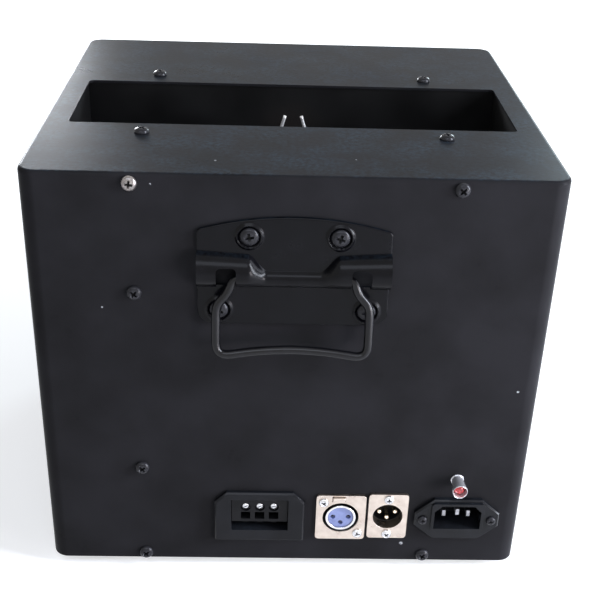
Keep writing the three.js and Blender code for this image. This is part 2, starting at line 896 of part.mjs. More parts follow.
const inletOutline = mirroredOutline([
  [inletTopHalf, -inletHalfHeight],
  [inletEar, -inletEarHalf],
  [inletEar, inletEarHalf],
  [inletTopHalf, inletHalfHeight],
]);
const cavityOutline = mirroredOutline([
  [cavityWidth / 2, -cavityHeight / 2],
  [cavityWidth / 2, cavityHeight / 2 - cavityCut],
  [cavityWidth / 2 - cavityCut, cavityHeight / 2],
]);
const shroudOutline = roundedRectangle(shroudWidth, shroudHeight, shroudCorner);
const inletFront = inletFlange + shroudRise;
const cavityFloor = inletFront - cavityDepth;
const inletShell = crownedSlab(inletOutline, [seat, inletFlange], inletBevel, 1)
  .add(solidOf(slab(shroudOutline, [cavityFloor - inletFloor, inletFront], 2).translate(0, shroudLift, 0)));
const blades = [
  [-bladePitch, -liveDrop, liveRecess],
  [0, earthLift, earthRecess],
  [bladePitch, -liveDrop, liveRecess],
].map(([x, y, recess]) => {
  const blade = block(
    [-bladeWidth / 2, bladeWidth / 2],
    [-bladeHeight / 2, bladeHeight / 2],
    [cavityFloor - overrun, inletFront - recess],
  );
  return solidOf(blade.translate(x, shroudLift + y, 0));
});
const inletSides = [-1, 1];
const inletHoles = inletSides.map((side) => {
  const hole = bar(panelScrew.shank + fitGap, wallDepths(inletFlange), screwSides);
  return hole.translate(side * inletScrewHalf, 0, inletFlange);
});
const cavity = slab(cavityOutline, [cavityFloor, inletFront + overrun]).translate(0, shroudLift, 0);
const inletOpen = cut(inletShell, cavity, ...inletHoles);
addPiece(
  "mains_inlet",
  blades.reduce((whole, blade) => whole.add(blade), inletOpen),
  blackMoulding(),
  frontWall,
  [inletX, rowHeight, 0],
);
const inletOpening = roundedRectangle(shroudWidth + 2 * fitGap, shroudHeight + 2 * fitGap, shroudCorner);
openWall(slab(inletOpening, wallDepths()), inletX, shroudLift);
for (const [word, side] of sides) {
  const x = inletX + side * inletScrewHalf;
  addScrew(`inlet_screw_${word}`, panelScrew, blackSteel(), frontWall, [x, rowHeight, inletFlange]);
  coverHoles.push(screwHole(panelScrew, frontWall, [x, rowHeight]));
}

// Control input and output: two pressed nickel plates with a barrel behind, one with pins, one with holes
const plateHeight = 31.3;
const plateSheet = 2;
const plateCorner = 2;
const barrelSegments = 24;

function plateAndBarrel(width, barrel, bore, depth) {
  return [
    slab(roundedRectangle(width, plateHeight, plateCorner), [seat, plateSheet], 3),
    bar(barrel, [-depth, plateSheet - overrun], barrelSegments),
    bar(bore, [-depth - overrun, plateSheet + overrun], barrelSegments),
  ];
}

// Socket side: plate, barrel and the guide for its latch, a round insert with three contact holes
const femaleWidth = 28.3;
const femaleBore = 10.4;
const femaleBarrel = 11.2;
const femaleDepth = 22;
const insertRadius = 8.6;
const insertBase = 5;
const contactRadius = 1.4;
const contactDepth = 12;
const contactSpread = 4.4;
const contactDrop = 4;
const contactLift = 0.4;
const femaleScrewX = 10;
const femaleScrewY = 11;
const latchX = -1.4;
const latchY = 13.1;
const latchWidth = 7;
const latchHeight = 3;
const latchLength = 12;
const latchProud = 1.6;
const latchTravel = 1.4;
const guideWall = 0.8;

const guideHalfX = latchWidth / 2 + fitGap + guideWall;
const guideTop = latchY + latchHeight / 2 + fitGap + guideWall / 2;
const guideDepth = latchLength + latchTravel - latchProud;
const latchSlot = block(
  [latchX - latchWidth / 2 - fitGap, latchX + latchWidth / 2 + fitGap],
  [latchY - latchHeight / 2 - fitGap, latchY + latchHeight / 2 + fitGap],
  [-guideDepth - overrun, plateSheet + overrun],
);
const latchGuide = block(
  [latchX - guideHalfX, latchX + guideHalfX],
  [femaleBore + guideWall / 2, guideTop],
  [-guideDepth, plateSheet - overrun],
);
const femaleParts = plateAndBarrel(femaleWidth, femaleBarrel, femaleBore, femaleDepth);
const [femalePlate, femaleTube, femaleHollow] = femaleParts;
const femaleScrews = [
  ["upper", -femaleScrewX, femaleScrewY],
  ["lower", femaleScrewX, -femaleScrewY],
];

function smallHole(x, y) {
  return bar(panelScrew.shank + fitGap, wallDepths(), screwSides).translate(x, y, plateSheet);
}

addPiece(
  "output_socket_shell",
  cut(
    joined(femalePlate, femaleTube, latchGuide),
    femaleHollow,
    latchSlot,
    ...femaleScrews.map(([, x, y]) => smallHole(x, y)),
  ),
  champagneNickel(),
  frontWall,
  [femaleX, rowHeight, 0],
);
openWall(bar(femaleBarrel + fitGap, wallDepths(), barrelSegments), femaleX);
openWall(
  block([latchX - guideHalfX - fitGap, latchX + guideHalfX + fitGap], [0, guideTop + fitGap], wallDepths()),
  femaleX,
);

const contacts = [
  [-contactSpread, contactLift],
  [contactSpread, contactLift],
  [0, contactLift - contactDrop],
];
const insertFlare = femaleBore - fitGap;
const contactHoles = contacts.map(([x, y]) =>
  bar(contactRadius, [plateSheet - contactDepth, plateSheet + overrun], 10).translate(x, y, 0),
);
addPiece(
  "output_socket_insert",
  cut(
    joined(
      bar(insertRadius, [-femaleDepth + overrun, plateSheet], barrelSegments),
      bar(insertFlare, [-femaleDepth, insertBase - femaleDepth], barrelSegments),
    ),
    ...contactHoles,
  ),
  finish(0xa9b6c9, 0.45, 0),
  frontWall,
  [femaleX, rowHeight, 0],
);
addPiece(
  "output_socket_latch",
  block([-latchWidth / 2, latchWidth / 2], [-latchHeight / 2, latchHeight / 2], [0, latchLength]),
  champagneNickel(),
  frontWall,
  [femaleX + latchX, rowHeight + latchY, plateSheet + latchProud - latchLength],
);
for (const [word, x, y] of femaleScrews) {
  const place = [femaleX + x, rowHeight + y, plateSheet];
  addScrew(`output_socket_screw_${word}`, panelScrew, zincSteel(), frontWall, place);
  coverHoles.push(screwHole(panelScrew, frontWall, place));
}

// Plug side: plate and barrel, with three pins standing on an insert at the bottom of the barrel
const maleWidth = 22.6;
const maleBore = 8.6;
const maleBarrel = 9.6;
const maleDepth = 14;
const maleInsert = 4;
const pinRadius = 1.2;
const pinRecess = 2.5;
const pinSpread = 4.5;
const pinDrop = 4.2;
const pinLift = 0.9;
const maleScrewY = 12.4;

const [malePlate, maleTube, maleHollow] = plateAndBarrel(maleWidth, maleBarrel, maleBore, maleDepth);
const maleScrews = [
  ["upper", maleScrewY],
  ["lower", -maleScrewY],
];
addPiece(
  "input_plug_shell",
  cut(joined(malePlate, maleTube), maleHollow, ...maleScrews.map(([, y]) => smallHole(0, y))),
  champagneNickel(),
  frontWall,
  [maleX, rowHeight + maleLift, 0],
);
openWall(bar(maleBarrel + fitGap, wallDepths(), barrelSegments), maleX, maleLift);
const pins = [
  [-pinSpread, pinLift],
  [pinSpread, pinLift],
  [0, pinLift - pinDrop],
];
const pinBars = pins.map(([x, y]) =>
  bar(pinRadius, [maleInsert - maleDepth - overrun, plateSheet - pinRecess], 10).translate(x, y, 0),
);
addPiece(
  "input_plug_insert",
  joined(bar(maleBore - fitGap, [-maleDepth, maleInsert - maleDepth], barrelSegments), ...pinBars),
  blackMoulding(),
  frontWall,
  [maleX, rowHeight + maleLift, 0],
);
for (const [word, y] of maleScrews) {
  const place = [maleX, rowHeight + maleLift + y, plateSheet];
  addScrew(`input_plug_screw_${word}`, panelScrew, zincSteel(), frontWall, place);
  coverHoles.push(screwHole(panelScrew, frontWall, place));
}

// Terminal frame: a black moulding with cut upper corners, holding a three-way screw terminal
const frameHalfWidth = 25.6;
const frameHalfHeight = 17.2;
const frameCut = 6.8;
const frameFlange = 3;
const frameBevel = 1.1;
const frameWall = 1.6;
const frameDepth = 14;
const windowWidth = 32.4;
const windowHeight = 21.6;
const windowLift = 1.6;
const windowCorner = 0.6;
const windowOutline = (margin) =>
  roundedRectangle(windowWidth + 2 * margin, windowHeight + 2 * margin, windowCorner + margin);

const frameOutline = mirroredOutline([
  [frameHalfWidth, -frameHalfHeight],
  [frameHalfWidth, frameHalfHeight - frameCut],
  [frameHalfWidth - frameCut, frameHalfHeight],
]);
const sleeveSpan = [-frameDepth, frameFlange - overrun];
const windowSpan = [-frameDepth - overrun, frameFlange + overrun];
const frameSleeve = slab(windowOutline(frameWall), sleeveSpan, 2).translate(0, windowLift, 0);
const frameWindow = slab(windowOutline(0), windowSpan, 2).translate(0, windowLift, 0);
const frameFace = crownedSlab(frameOutline, [seat, frameFlange], frameBevel, 1);
addPiece(
  "terminal_frame",
  cut(frameFace.add(solidOf(frameSleeve)), frameWindow),
  blackMoulding(),
  frontWall,
  [terminalX, rowHeight, 0],
);
openWall(slab(windowOutline(frameWall + fitGap), wallDepths(), 2).translate(0, windowLift, 0), terminalX);

// Terminal block: three clamp screws in wells over three wire entries, with a ledge and lugs below
const terminalPitch = 8;
const terminalRecess = 1.6;
const terminalUpper = 16;
const ledgeRecess = 8;
const clampWell = 2.9;
const clampWellDepth = 3;
const clampRadius = 2.5;
const clampY = 4.8;
const entryWidth = 5.4;
const entryHeight = 5;
const entryDepth = 9;
const entryY = -1.2;
const lugWidth = 3.2;
const lugHeight = 1.6;
const lugRise = 5;

const terminalHalfX = windowWidth / 2 - fitGap;
const terminalTop = windowHeight / 2 - fitGap;
const terminalFace = frameFlange - terminalRecess;
const terminalLedge = terminalFace - ledgeRecess;
const terminalStep = terminalTop - terminalUpper;
const terminalWays = [-1, 0, 1].map((place) => place * terminalPitch);
const terminalBody = joined(
  block([-terminalHalfX, terminalHalfX], [terminalStep, terminalTop], [-frameDepth, terminalFace]),
  block(
    [-terminalHalfX, terminalHalfX],
    [-terminalTop, terminalStep + overrun],
    [-frameDepth, terminalLedge],
  ),
);
const clampWells = terminalWays.map((x) =>
  bar(clampWell, [terminalFace - clampWellDepth, terminalFace + overrun], 12).translate(x, clampY, 0),
);
const wireEntries = terminalWays.map((x) =>
  block(
    [x - entryWidth / 2, x + entryWidth / 2],
    [entryY - entryHeight / 2, entryY + entryHeight / 2],
    [terminalFace - entryDepth, terminalFace + overrun],
  ),
);
const clampHeads = terminalWays.map((x) => {
  const head = bar(clampRadius, [terminalFace - clampWellDepth - overrun, terminalFace - overrun], 12);
  return solidOf(head.translate(x, clampY, 0));
});
const lugs = terminalWays.map((x) =>
  solidOf(
    block(
      [x - lugWidth / 2, x + lugWidth / 2],
      [terminalStep - 2 * lugHeight, terminalStep - lugHeight],
      [terminalLedge - overrun, terminalLedge + lugRise],
    ),
  ),
);
addPiece(
  "terminal_block",
  [...clampHeads, ...lugs].reduce(
    (whole, extra) => whole.add(extra),
    cut(terminalBody, ...clampWells, ...wireEntries),
  ),
  blackMoulding(),
  frontWall,
  [terminalX, rowHeight + windowLift, 0],
);

// Indicator lamp: a flared chrome bezel on a threaded neck, with a red lens in its cup
const lampToInlet = 1.9;
const lampHeight = 59.3;
const lampReach = 11.5;
const lampNeck = 3;
const lampWaist = 3.3;
const lampFlare = 4.3;
const lampWall = 0.6;
const lampTail = 10;
const lampCup = 7.5;
const lensSink = 1;
const lampX = inletX - lampToInlet;
const lampCollar = lampReach - lampCup;
addPiece(
  "lamp_bezel",
  cut(
    joined(
      bar(lampNeck, [-lampTail, seat + overrun], 14),
      cone(lampWaist, lampFlare, [seat, lampReach], 20),
    ),
    cone(lampWaist - lampWall, lampFlare - lampWall, [lampCollar, lampReach + seat], 20),
    bar(lampNeck - 2 * lampWall, [-lampTail - overrun, lampCollar + overrun], 12),
  ),
  finish(0xd6d3cf, 0.15, 1),
  frontWall,
  [lampX, lampHeight, 0],
);
coverHoles.push(inCase(bar(lampNeck + fitGap, wallDepths(), 14).translate(lampX, lampHeight, 0), frontWall));
const lensRadius = lampWaist - lampWall - fitGap;
const lensTop = lampReach - lensSink;
const lensShoulder = lensTop - lensRadius;
const lensHaunch = lensRadius * Math.cos(quarterTurn / 2);
addPiece(
  "lamp_lens",
  turned(
    [
      [0, -lampTail],
      [lampNeck - 2 * lampWall - fitGap, -lampTail],
      [lampNeck - 2 * lampWall - fitGap, lampCollar + fitGap],
      [lensRadius, lampCollar + fitGap],
      [lensRadius, lensShoulder],
      [lensHaunch, lensShoulder + lensHaunch],
      [0, lensTop],
    ],
    14,
  ),
  finish(0xc2202a, 0.15, 0),
  frontWall,
  [lampX, lampHeight, 0],
);

// Handle: a pressed steel plate with two hollow ears, open at their ends and joined by a lower neck, and a
// wire bail hung in the ears
const plateTopDrop = 21;
const plateHalfWidth = 48.5;
const plateArch = 6.5;
const plateCrown = 28.4;
const plateBelow = 31.6;
const handlePlate = 1.8;
const plateLowCorner = 8;
const plateHighCorner = 3;
const earRadius = 10;
const earInnerRadius = 9.2;
const neckRadius = 4.7;
const earInnerEnd = 23;
const neckEnd = 16.5;
const pressedWall = 0.8;
const earWindowInner = 28.5;
const earWindowOuter = 38.8;
const earWindowTop = 3.4;
const handleScrewX = 22.5;
const handleScrewUp = 18.1;
const handleScrewLowX = 37.6;
const handleScrewDown = 22.9;
const bossFoot = 7.5;
const bossCrown = 5.8;
const bossPocket = 5.2;
const bossRaise = 1.2;
const handleY = caseHeight - plateTopDrop - plateCrown;

const bailRadius = 2.5;
const pivotOut = 4.2;
const pivotDrop = 3.7;
const pivotInnerEnd = 24.5;
const bearingEnd = 27.5;
const bailHalf = 38.9;
const bailShoulder = 30.5;
const bailNeckX = 32.8;
const bailNeckDrop = 8.6;
const bailStraight = 14;
const bailLength = 42.6;
const bailCorner = 7;
const bailRise = 4.4;
const bailRiseHalf = 18;
const bailRiseShare = 0.75;

// One stretch of the pressed hump, from x0 to x1, its underside level with the ears' underside
function humpStretch([x0, r0], [x1, r1], wall = 0) {
  const stretch = new THREE.CylinderGeometry(r1 - wall, r0 - wall, x1 - x0, 24).rotateZ(-quarterTurn);
  const slope = (r1 - r0) / (x1 - x0);
  const middle = (x0 + x1) / 2;
  const lean = new THREE.Matrix4().set(1, 0, 0, 0, slope, 1, 0, 0, 0, 0, 1, 0, 0, 0, 0, 1);
  return stretch.applyMatrix4(lean).translate(middle, (r0 + r1) / 2 - earRadius, 0);
}

// Neighbouring stations of [x, radius] joined by stretches
function stretchesOf(stations, wall = 0) {
  return stations.slice(1).map((station, i) => humpStretch(stations[i], station, wall));
}

const humpHalf = [
  [neckEnd, neckRadius],
  [earInnerEnd, earInnerRadius],
  [plateHalfWidth, earRadius],
];
const humpOtherHalf = humpHalf.map(([x, radius]) => [-x, radius]).reverse();
const earHollow = [
  [bearingEnd, earInnerRadius],
  [plateHalfWidth + overrun, earRadius],
];
const earHollows = [earHollow, earHollow.map(([x, radius]) => [-x, radius]).reverse()];

// The plate's outline has round lower corners, small upper ones and an arched top
const lowX = plateHalfWidth - plateLowCorner;
const lowY = plateLowCorner - plateBelow;
const highX = plateHalfWidth - plateHighCorner;
const highY = plateCrown - plateArch;
const plateOutline = new THREE.Shape();
plateOutline.moveTo(-lowX, -plateBelow);
plateOutline.lineTo(lowX, -plateBelow);
plateOutline.absarc(lowX, lowY, plateLowCorner, -quarterTurn, 0);
plateOutline.lineTo(plateHalfWidth, highY - plateHighCorner);
plateOutline.quadraticCurveTo(plateHalfWidth, highY, highX, highY);
plateOutline.quadraticCurveTo(0, plateCrown + plateArch, -highX, highY);
plateOutline.quadraticCurveTo(-plateHalfWidth, highY, -plateHalfWidth, highY - plateHighCorner);
plateOutline.lineTo(-plateHalfWidth, lowY);
plateOutline.absarc(-lowX, lowY, plateLowCorner, 2 * quarterTurn, 3 * quarterTurn);

const handleScrews = [];
for (const [word, side] of sides) {
  handleScrews.push([`upper_${word}`, side * handleScrewX, handleScrewUp]);
  handleScrews.push([`lower_${word}`, side * handleScrewLowX, -handleScrewDown]);
}
const bosses = handleScrews.map(([, x, y]) =>
  cone(bossFoot, bossCrown, [handlePlate, handlePlate + bossRaise], 18).translate(x, y, 0),
);
const bossPockets = handleScrews.map(([, x, y]) =>
  bar(bossPocket, [handlePlate, handlePlate + bossRaise + overrun], 16).translate(x, y, 0),
);
const bearings = [-1, 1].map((side) =>
  bar(bailRadius + fitGap, [pivotInnerEnd - fitGap, bearingEnd + overrun], 16)
    .rotateY(side * quarterTurn)
    .translate(0, -pivotDrop, pivotOut),
);
const handleHoles = handleScrews.map(([, x, y]) =>
  bar(handleScrew.shank + fitGap, [-overrun, handlePlate + overrun], 12).translate(x, y, 0),
);
const earWindows = [-1, 1].map((side) => {
  const near = side * earWindowInner;
  const far = side * earWindowOuter;
  return block(
    [Math.min(near, far), Math.max(near, far)],
    [-earRadius - overrun, earWindowTop],
    [handlePlate + seat, earRadius + overrun],
  );
});
const behindPlate = block(
  [-plateHalfWidth - overrun, plateHalfWidth + overrun],
  [-plateBelow - overrun, plateCrown + overrun],
  [-2 * earRadius, seat],
);
const pressing = stretchesOf([...humpOtherHalf, ...humpHalf]);
addPiece(
  "handle_plate",
  cut(
    joined(slab(plateOutline, [0, handlePlate], 8), ...pressing, ...bosses),
    ...earHollows.flatMap((stations) => stretchesOf(stations, pressedWall)),
    humpStretch([-neckEnd, neckRadius], [neckEnd, neckRadius], pressedWall),
    ...bearings,
    ...earWindows,
    ...bossPockets,
    ...handleHoles,
    behindPlate,
  ),
  blackSteel(),
  frontWall,
  [0, handleY, 0],
);
for (const [word, x, y] of handleScrews) {
  addScrew(`handle_screw_${word}`, handleScrew, blackSteel(), frontWall, [x, handleY + y, handlePlate]);
  coverHoles.push(screwHole(handleScrew, frontWall, [x, handleY + y]));
}

// Bail: one steel rod, its ends turned in as pivots and its grip raised in the middle. It hangs leaning out
// on the crowns of the lower screws
const bailSide = [
  [pivotInnerEnd, 0],
  [bailShoulder, 0],
  [bailNeckX, -bailNeckDrop],
  [bailHalf, -bailStraight],
  [bailHalf, -bailLength],
  [bailRiseHalf, bailRise * bailRiseShare - bailLength],
];
const bailRoute = [
  ...bailSide,
  [0, bailRise - bailLength],
  ...bailSide.map(([x, y]) => [-x, y]).reverse(),
].map(([x, y]) => [x, y, 0]);
const screwCrownTop = handlePlate + seat + handleScrew.rise;
const crownFromPivot = handleScrewDown - pivotDrop - handleScrew.head * headCrownShare;
const bailLean = Math.atan2(screwCrownTop + seat + bailRadius - pivotOut, crownFromPivot);
const bail = addPiece(
  "handle_bail",
  rodAlong(bailRoute, bailRadius, bailCorner, 10, 60),
  blackSteel(),
  frontWall,
  [0, handleY - pivotDrop, pivotOut],
);
bail.rotation.x = -bailLean;

// Can door: a flat sheet over the can bay's opening in the left wall, hinged on its front edge
const doorMargin = 6;
const doorLap = 5;
const doorLow = 20;
const doorHigh = 200;
const knuckleRadius = 2.6;
const hingePin = 1.2;
const hingeLeaf = 16;
const leafSheet = 1.2;
const pullHeight = 40;
const pullReach = 5;
const knuckleGap = 0.4;

// In the left wall's frame x runs towards the front, so the can's middle lies at -canY
const openingHalf = canRadius + doorMargin;
const doorX = -canY;
const doorHalf = openingHalf + doorLap;
const doorBottom = doorLow - doorLap;
const doorTop = doorHigh + doorLap;
const hingeX = doorX + doorHalf + knuckleRadius + knuckleGap;
const hingeOut = knuckleRadius + 2 * seat;
const knuckleSpan = (doorTop - doorBottom) / 3;
const [lowKnuckle, doorKnuckle, highKnuckle] = [0, 1, 2].map((place) => {
  const low = doorBottom + place * knuckleSpan;
  return [low + knuckleGap / 2, low + knuckleSpan - knuckleGap / 2];
});

// A bar along the hinge's axis
function hingeBar(radius, [low, high], segments = 14) {
  return bar(radius, [low, high], segments).rotateX(-quarterTurn).translate(hingeX, 0, hingeOut);
}

const doorPanel = block([doorX - doorHalf, doorX + doorHalf], [doorBottom, doorTop], [seat, seat + sheet]);
const doorWeb = block([doorX + doorHalf - overrun, hingeX], doorKnuckle, [seat, seat + sheet]);
const doorPull = block(
  [doorX - doorHalf, doorX - doorHalf + sheet],
  [(doorBottom + doorTop - pullHeight) / 2, (doorBottom + doorTop + pullHeight) / 2],
  [seat, seat + pullReach],
);
addPiece(
  "can_door",
  cut(
    joined(doorPanel, doorWeb, doorPull, hingeBar(knuckleRadius, doorKnuckle)),
    hingeBar(hingePin + fitGap, [doorBottom, doorTop], 12),
  ),
  powderCoat(),
  leftWall,
);
coverHoles.push(
  inCase(block([doorX - openingHalf, doorX + openingHalf], [doorLow, doorHigh], wallDepths()), leftWall),
);

// Hinge: a leaf fixed to the wall in front of the door, with two knuckles and the pin
const leafNear = hingeX + knuckleRadius + knuckleGap;
const leafDepth = [seat, seat + leafSheet];
const leafPlate = block([leafNear, leafNear + hingeLeaf], [doorBottom, doorTop], leafDepth);
const leafWebs = [lowKnuckle, highKnuckle].map((span) => block([hingeX, leafNear + overrun], span, leafDepth));
addPiece(
  "door_hinge",
  joined(
    leafPlate,
    ...leafWebs,
    hingeBar(knuckleRadius, lowKnuckle),
    hingeBar(knuckleRadius, highKnuckle),
    hingeBar(hingePin, [doorBottom + knuckleGap, doorTop - knuckleGap], 10),
  ),
  blackSteel(),
  leftWall,
);

// Door magnet: a block at the free side of the opening, hooked behind the wall
const magnetWidth = 6;
const magnetHeight = 30;
const magnetDepth = 8;
const magnetHook = 6;
const magnetX = doorX - openingHalf;
const magnetSpan = [(doorLow + doorHigh - magnetHeight) / 2, (doorLow + doorHigh + magnetHeight) / 2];
addPiece(
  "door_magnet",
  joined(
    block([magnetX + seat, magnetX + magnetWidth], magnetSpan, [-magnetDepth, -seat]),
    block([magnetX - magnetHook, magnetX + magnetWidth], magnetSpan, [-magnetDepth, -sheet - seat]),
  ),
  blackMoulding(),
  leftWall,
);

// Cover: top and four walls folded and welded as one piece, open below, lowered over the deck and tray
const coverOutline = roundedRectangle(caseWidth, caseDepth, cornerRadius);
const coverInside = roundedRectangle(caseWidth - 2 * sheet, caseDepth - 2 * sheet, cornerRadius - sheet);
const slotOutline = roundedRectangle(slotLength, slotWidth, slotCorner);
const topSheet = [caseHeight - sheet - overrun, caseHeight + overrun];
const slotCut = slab(slotOutline, topSheet, 3).translate(0, slotY, 0);
addPiece(
  "cover",
  cut(
    crownedSlab(coverOutline, [0, caseHeight], topBend, 3, 6),
    slab(coverInside, [-overrun, caseHeight - sheet], 6),
    slotCut,
    ...coverHoles,
  ),
  powderCoat(),
);

export default machine;
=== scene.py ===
import bpy
import bmesh
import json
import math
import random
from mathutils import Matrix, Vector
from mathutils.kdtree import KDTree


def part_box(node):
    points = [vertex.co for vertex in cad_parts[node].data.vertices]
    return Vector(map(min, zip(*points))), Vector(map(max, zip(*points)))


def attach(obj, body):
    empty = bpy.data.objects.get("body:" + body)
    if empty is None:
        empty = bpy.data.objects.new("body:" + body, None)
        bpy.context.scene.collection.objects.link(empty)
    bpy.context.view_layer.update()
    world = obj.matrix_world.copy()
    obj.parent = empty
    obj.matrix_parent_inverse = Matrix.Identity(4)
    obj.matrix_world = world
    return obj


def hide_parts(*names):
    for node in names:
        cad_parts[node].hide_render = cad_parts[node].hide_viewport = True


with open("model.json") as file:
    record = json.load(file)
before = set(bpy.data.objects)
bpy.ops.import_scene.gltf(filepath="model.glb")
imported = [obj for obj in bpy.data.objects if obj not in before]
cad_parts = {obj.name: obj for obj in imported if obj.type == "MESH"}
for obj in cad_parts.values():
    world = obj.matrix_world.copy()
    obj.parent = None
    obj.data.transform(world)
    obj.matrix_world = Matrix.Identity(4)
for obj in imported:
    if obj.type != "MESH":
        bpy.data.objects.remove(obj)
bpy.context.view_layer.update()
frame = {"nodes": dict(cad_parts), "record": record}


# Camera
# It stands in front of the connector wall, a little left of the middle, and looks down over the front edge
# into the flame slot.
camera_place = Vector((-0.01439, -0.59416, 0.4312))
camera_turn = math.radians(-2.013)
camera_tilt = math.radians(-28.453)
camera_roll = math.radians(2.002)
camera_lens = 64.17
camera_sensor = 36
camera_nearest = 0.01

look = Vector((-math.sin(camera_turn) * math.cos(camera_tilt),
               math.cos(camera_turn) * math.cos(camera_tilt),
               math.sin(camera_tilt)))
level = Vector((math.cos(camera_turn), math.sin(camera_turn), 0))
rise = level.cross(look)
camera_right = math.cos(camera_roll) * level + math.sin(camera_roll) * rise
camera_up = math.cos(camera_roll) * rise - math.sin(camera_roll) * level
camera_data = bpy.data.cameras.new("camera")
camera_data.lens = camera_lens
camera_data.sensor_width = camera_sensor
camera_data.clip_start = camera_nearest
camera = bpy.data.objects.new("camera", camera_data)
camera.matrix_world = Matrix.Translation(camera_place) @ Matrix(
    (camera_right, camera_up, -look)).transposed().to_4x4()
bpy.context.scene.collection.objects.link(camera)
bpy.context.scene.camera = camera


# Studio
# A pale floor under the feet and a pale surround. The key lamp stands at the right in front with a small low
# one beside it, two behind draw the sheen across the top, and a long one overhead lights the handle.
floor_height = -0.006
floor_size = 12
floor_colour = (0.86, 0.86, 0.86)
floor_dull_colour = (0.83, 0.83, 0.83)
floor_mottle = 3.0
floor_roughness = 0.9
floor_specular = 0.1
floor_glow = 0.40
far_floor_glow = 0.78
glow_start = 0.7
glow_end = 2.6
ambient_light = 0.24
# Each lamp's name, place, target, width, height, power and colour
lamps = [
    ("lamp_right", (0.92, -0.36, 0.46), (0.05, -0.12, 0.14), 0.22, 0.80, 18.0, (0.84, 0.89, 1.0)),
    ("lamp_front_right", (0.62, -0.66, 0.14), (0.08, -0.12, 0.06), 0.24, 0.24, 2.8, (1.0, 0.95, 1.0)),
    ("lamp_back_left", (-0.57, 1.25, 0.42), (-0.10, 0.0, 0.22), 0.42, 0.42, 14.0, (0.90, 0.94, 1.0)),
    ("lamp_back_right", (0.80, 1.30, 0.62), (0.05, 0.0, 0.22), 0.50, 0.50, 8.0, (0.76, 0.92, 1.0)),
    ("lamp_above", (-0.10, -0.92, 1.10), (0.0, -0.12, 0.19), 0.90, 0.44, 3.8, (0.80, 0.86, 1.0)),
]


def add_node(tree, kind, inputs=None, **settings):
    """A node in a material's tree, with its settings and with its inputs linked or set."""
    node = tree.nodes.new("ShaderNode" + kind)
    for name, value in settings.items():
        setattr(node, name, value)
    for socket, value in (inputs or {}).items():
        if isinstance(value, bpy.types.NodeSocket):
            tree.links.new(value, node.inputs[socket])
        else:
            node.inputs[socket].default_value = value
    return node


def new_material(name):
    """A material with a Principled shader wired to its output: its tree, its shader and its output."""
    material = bpy.data.materials.new(name)
    material.use_nodes = True
    tree = material.node_tree
    tree.nodes.clear()
    shader = add_node(tree, "BsdfPrincipled")
    output = add_node(tree, "OutputMaterial", {"Surface": shader.outputs["BSDF"]})
    return material, tree, shader, output


def noise(tree, place, scale, **inputs):
    """Soft noise over a place, as a value."""
    return add_node(tree, "TexNoise", {"Vector": place, "Scale": scale, **inputs}).outputs["Fac"]


def mixed(tree, share, low, high):
    """A colour between two others, by a mask."""
    ends = {name: (*end, 1) if isinstance(end, tuple) else end for name, end in (("A", low), ("B", high))}
    return add_node(tree, "Mix", {"Factor": share, **ends}, data_type="RGBA").outputs["Result"]


def spread(tree, value, low, high, to_low=0.0, to_high=1.0):
    """A value moved from one range to another, and held at its ends."""
    return add_node(tree, "MapRange", {"Value": value, "From Min": low, "From Max": high,
                                       "To Min": to_low, "To Max": to_high}).outputs["Result"]


def combined(tree, operation, first, second):
    """Two values joined by a sum, a product or the like."""
    return add_node(tree, "Math", {0: first, 1: second}, operation=operation).outputs["Value"]


def background_strength(tree, lighting, showing):
    """A light's strength, with a value of its own for the rays that show the background: seen, mirrored or
    passed through glass."""
    rays = add_node(tree, "LightPath").outputs
    shown = combined(tree, "MAXIMUM", rays["Is Camera Ray"], rays["Is Glossy Ray"])
    shown = combined(tree, "MAXIMUM", shown, rays["Is Transmission Ray"])
    return spread(tree, shown, 0, 1, lighting, showing)


floor_mesh = bpy.data.meshes.new("floor")
floor_form = bmesh.new()
bmesh.ops.create_grid(floor_form, x_segments=1, y_segments=1, size=floor_size / 2)
bmesh.ops.translate(floor_form, verts=floor_form.verts, vec=(0, 0, floor_height))
floor_form.to_mesh(floor_mesh)
floor_form.free()
floor = bpy.data.objects.new("floor", floor_mesh)
bpy.context.scene.collection.objects.link(floor)

# The lamps' light falls off outwards, so the floor's own tone rises there and the background stays even
floor_material, tree, shader, output = new_material("studio_floor")
floor_place = add_node(tree, "TexCoord").outputs["Object"]
floor_tone = mixed(tree, noise(tree, floor_place, floor_mottle), floor_colour, floor_dull_colour)
tree.links.new(floor_tone, shader.inputs["Base Color"])
shader.inputs["Roughness"].default_value = floor_roughness
shader.inputs["Specular IOR Level"].default_value = floor_specular
floor_reach = add_node(tree, "VectorMath", {0: floor_place}, operation="LENGTH").outputs["Value"]
floor_showing = spread(tree, floor_reach, glow_start, glow_end, floor_glow, far_floor_glow)
floor_light = add_node(tree, "Emission", {"Strength": background_strength(tree, 0.0, floor_showing)})
floor_sum = add_node(tree, "AddShader", {0: shader.outputs["BSDF"], 1: floor_light.outputs["Emission"]})
tree.links.new(floor_sum.outputs["Shader"], output.inputs["Surface"])
floor.data.materials.append(floor_material)

world = bpy.data.worlds.new("studio")
bpy.context.scene.world = world
world.use_nodes = True
tree = world.node_tree
tree.nodes.clear()
world_light = add_node(tree, "Background", {
    "Color": (1, 1, 1, 1), "Strength": background_strength(tree, ambient_light, 1.0)})
add_node(tree, "OutputWorld", {"Surface": world_light.outputs["Background"]})

for name, place, target, width, height, power, colour in lamps:
    lamp_data = bpy.data.lights.new(name, "AREA")
    lamp_data.shape = "RECTANGLE"
    lamp_data.size = width
    lamp_data.size_y = height
    lamp_data.energy = power
    lamp_data.color = colour
    lamp = bpy.data.objects.new(name, lamp_data)
    lamp.location = place
    lamp.rotation_euler = (Vector(target) - Vector(place)).to_track_quat("-Z", "Y").to_euler()
    bpy.context.scene.collection.objects.link(lamp)

bpy.context.scene.view_settings.view_transform = "Standard"


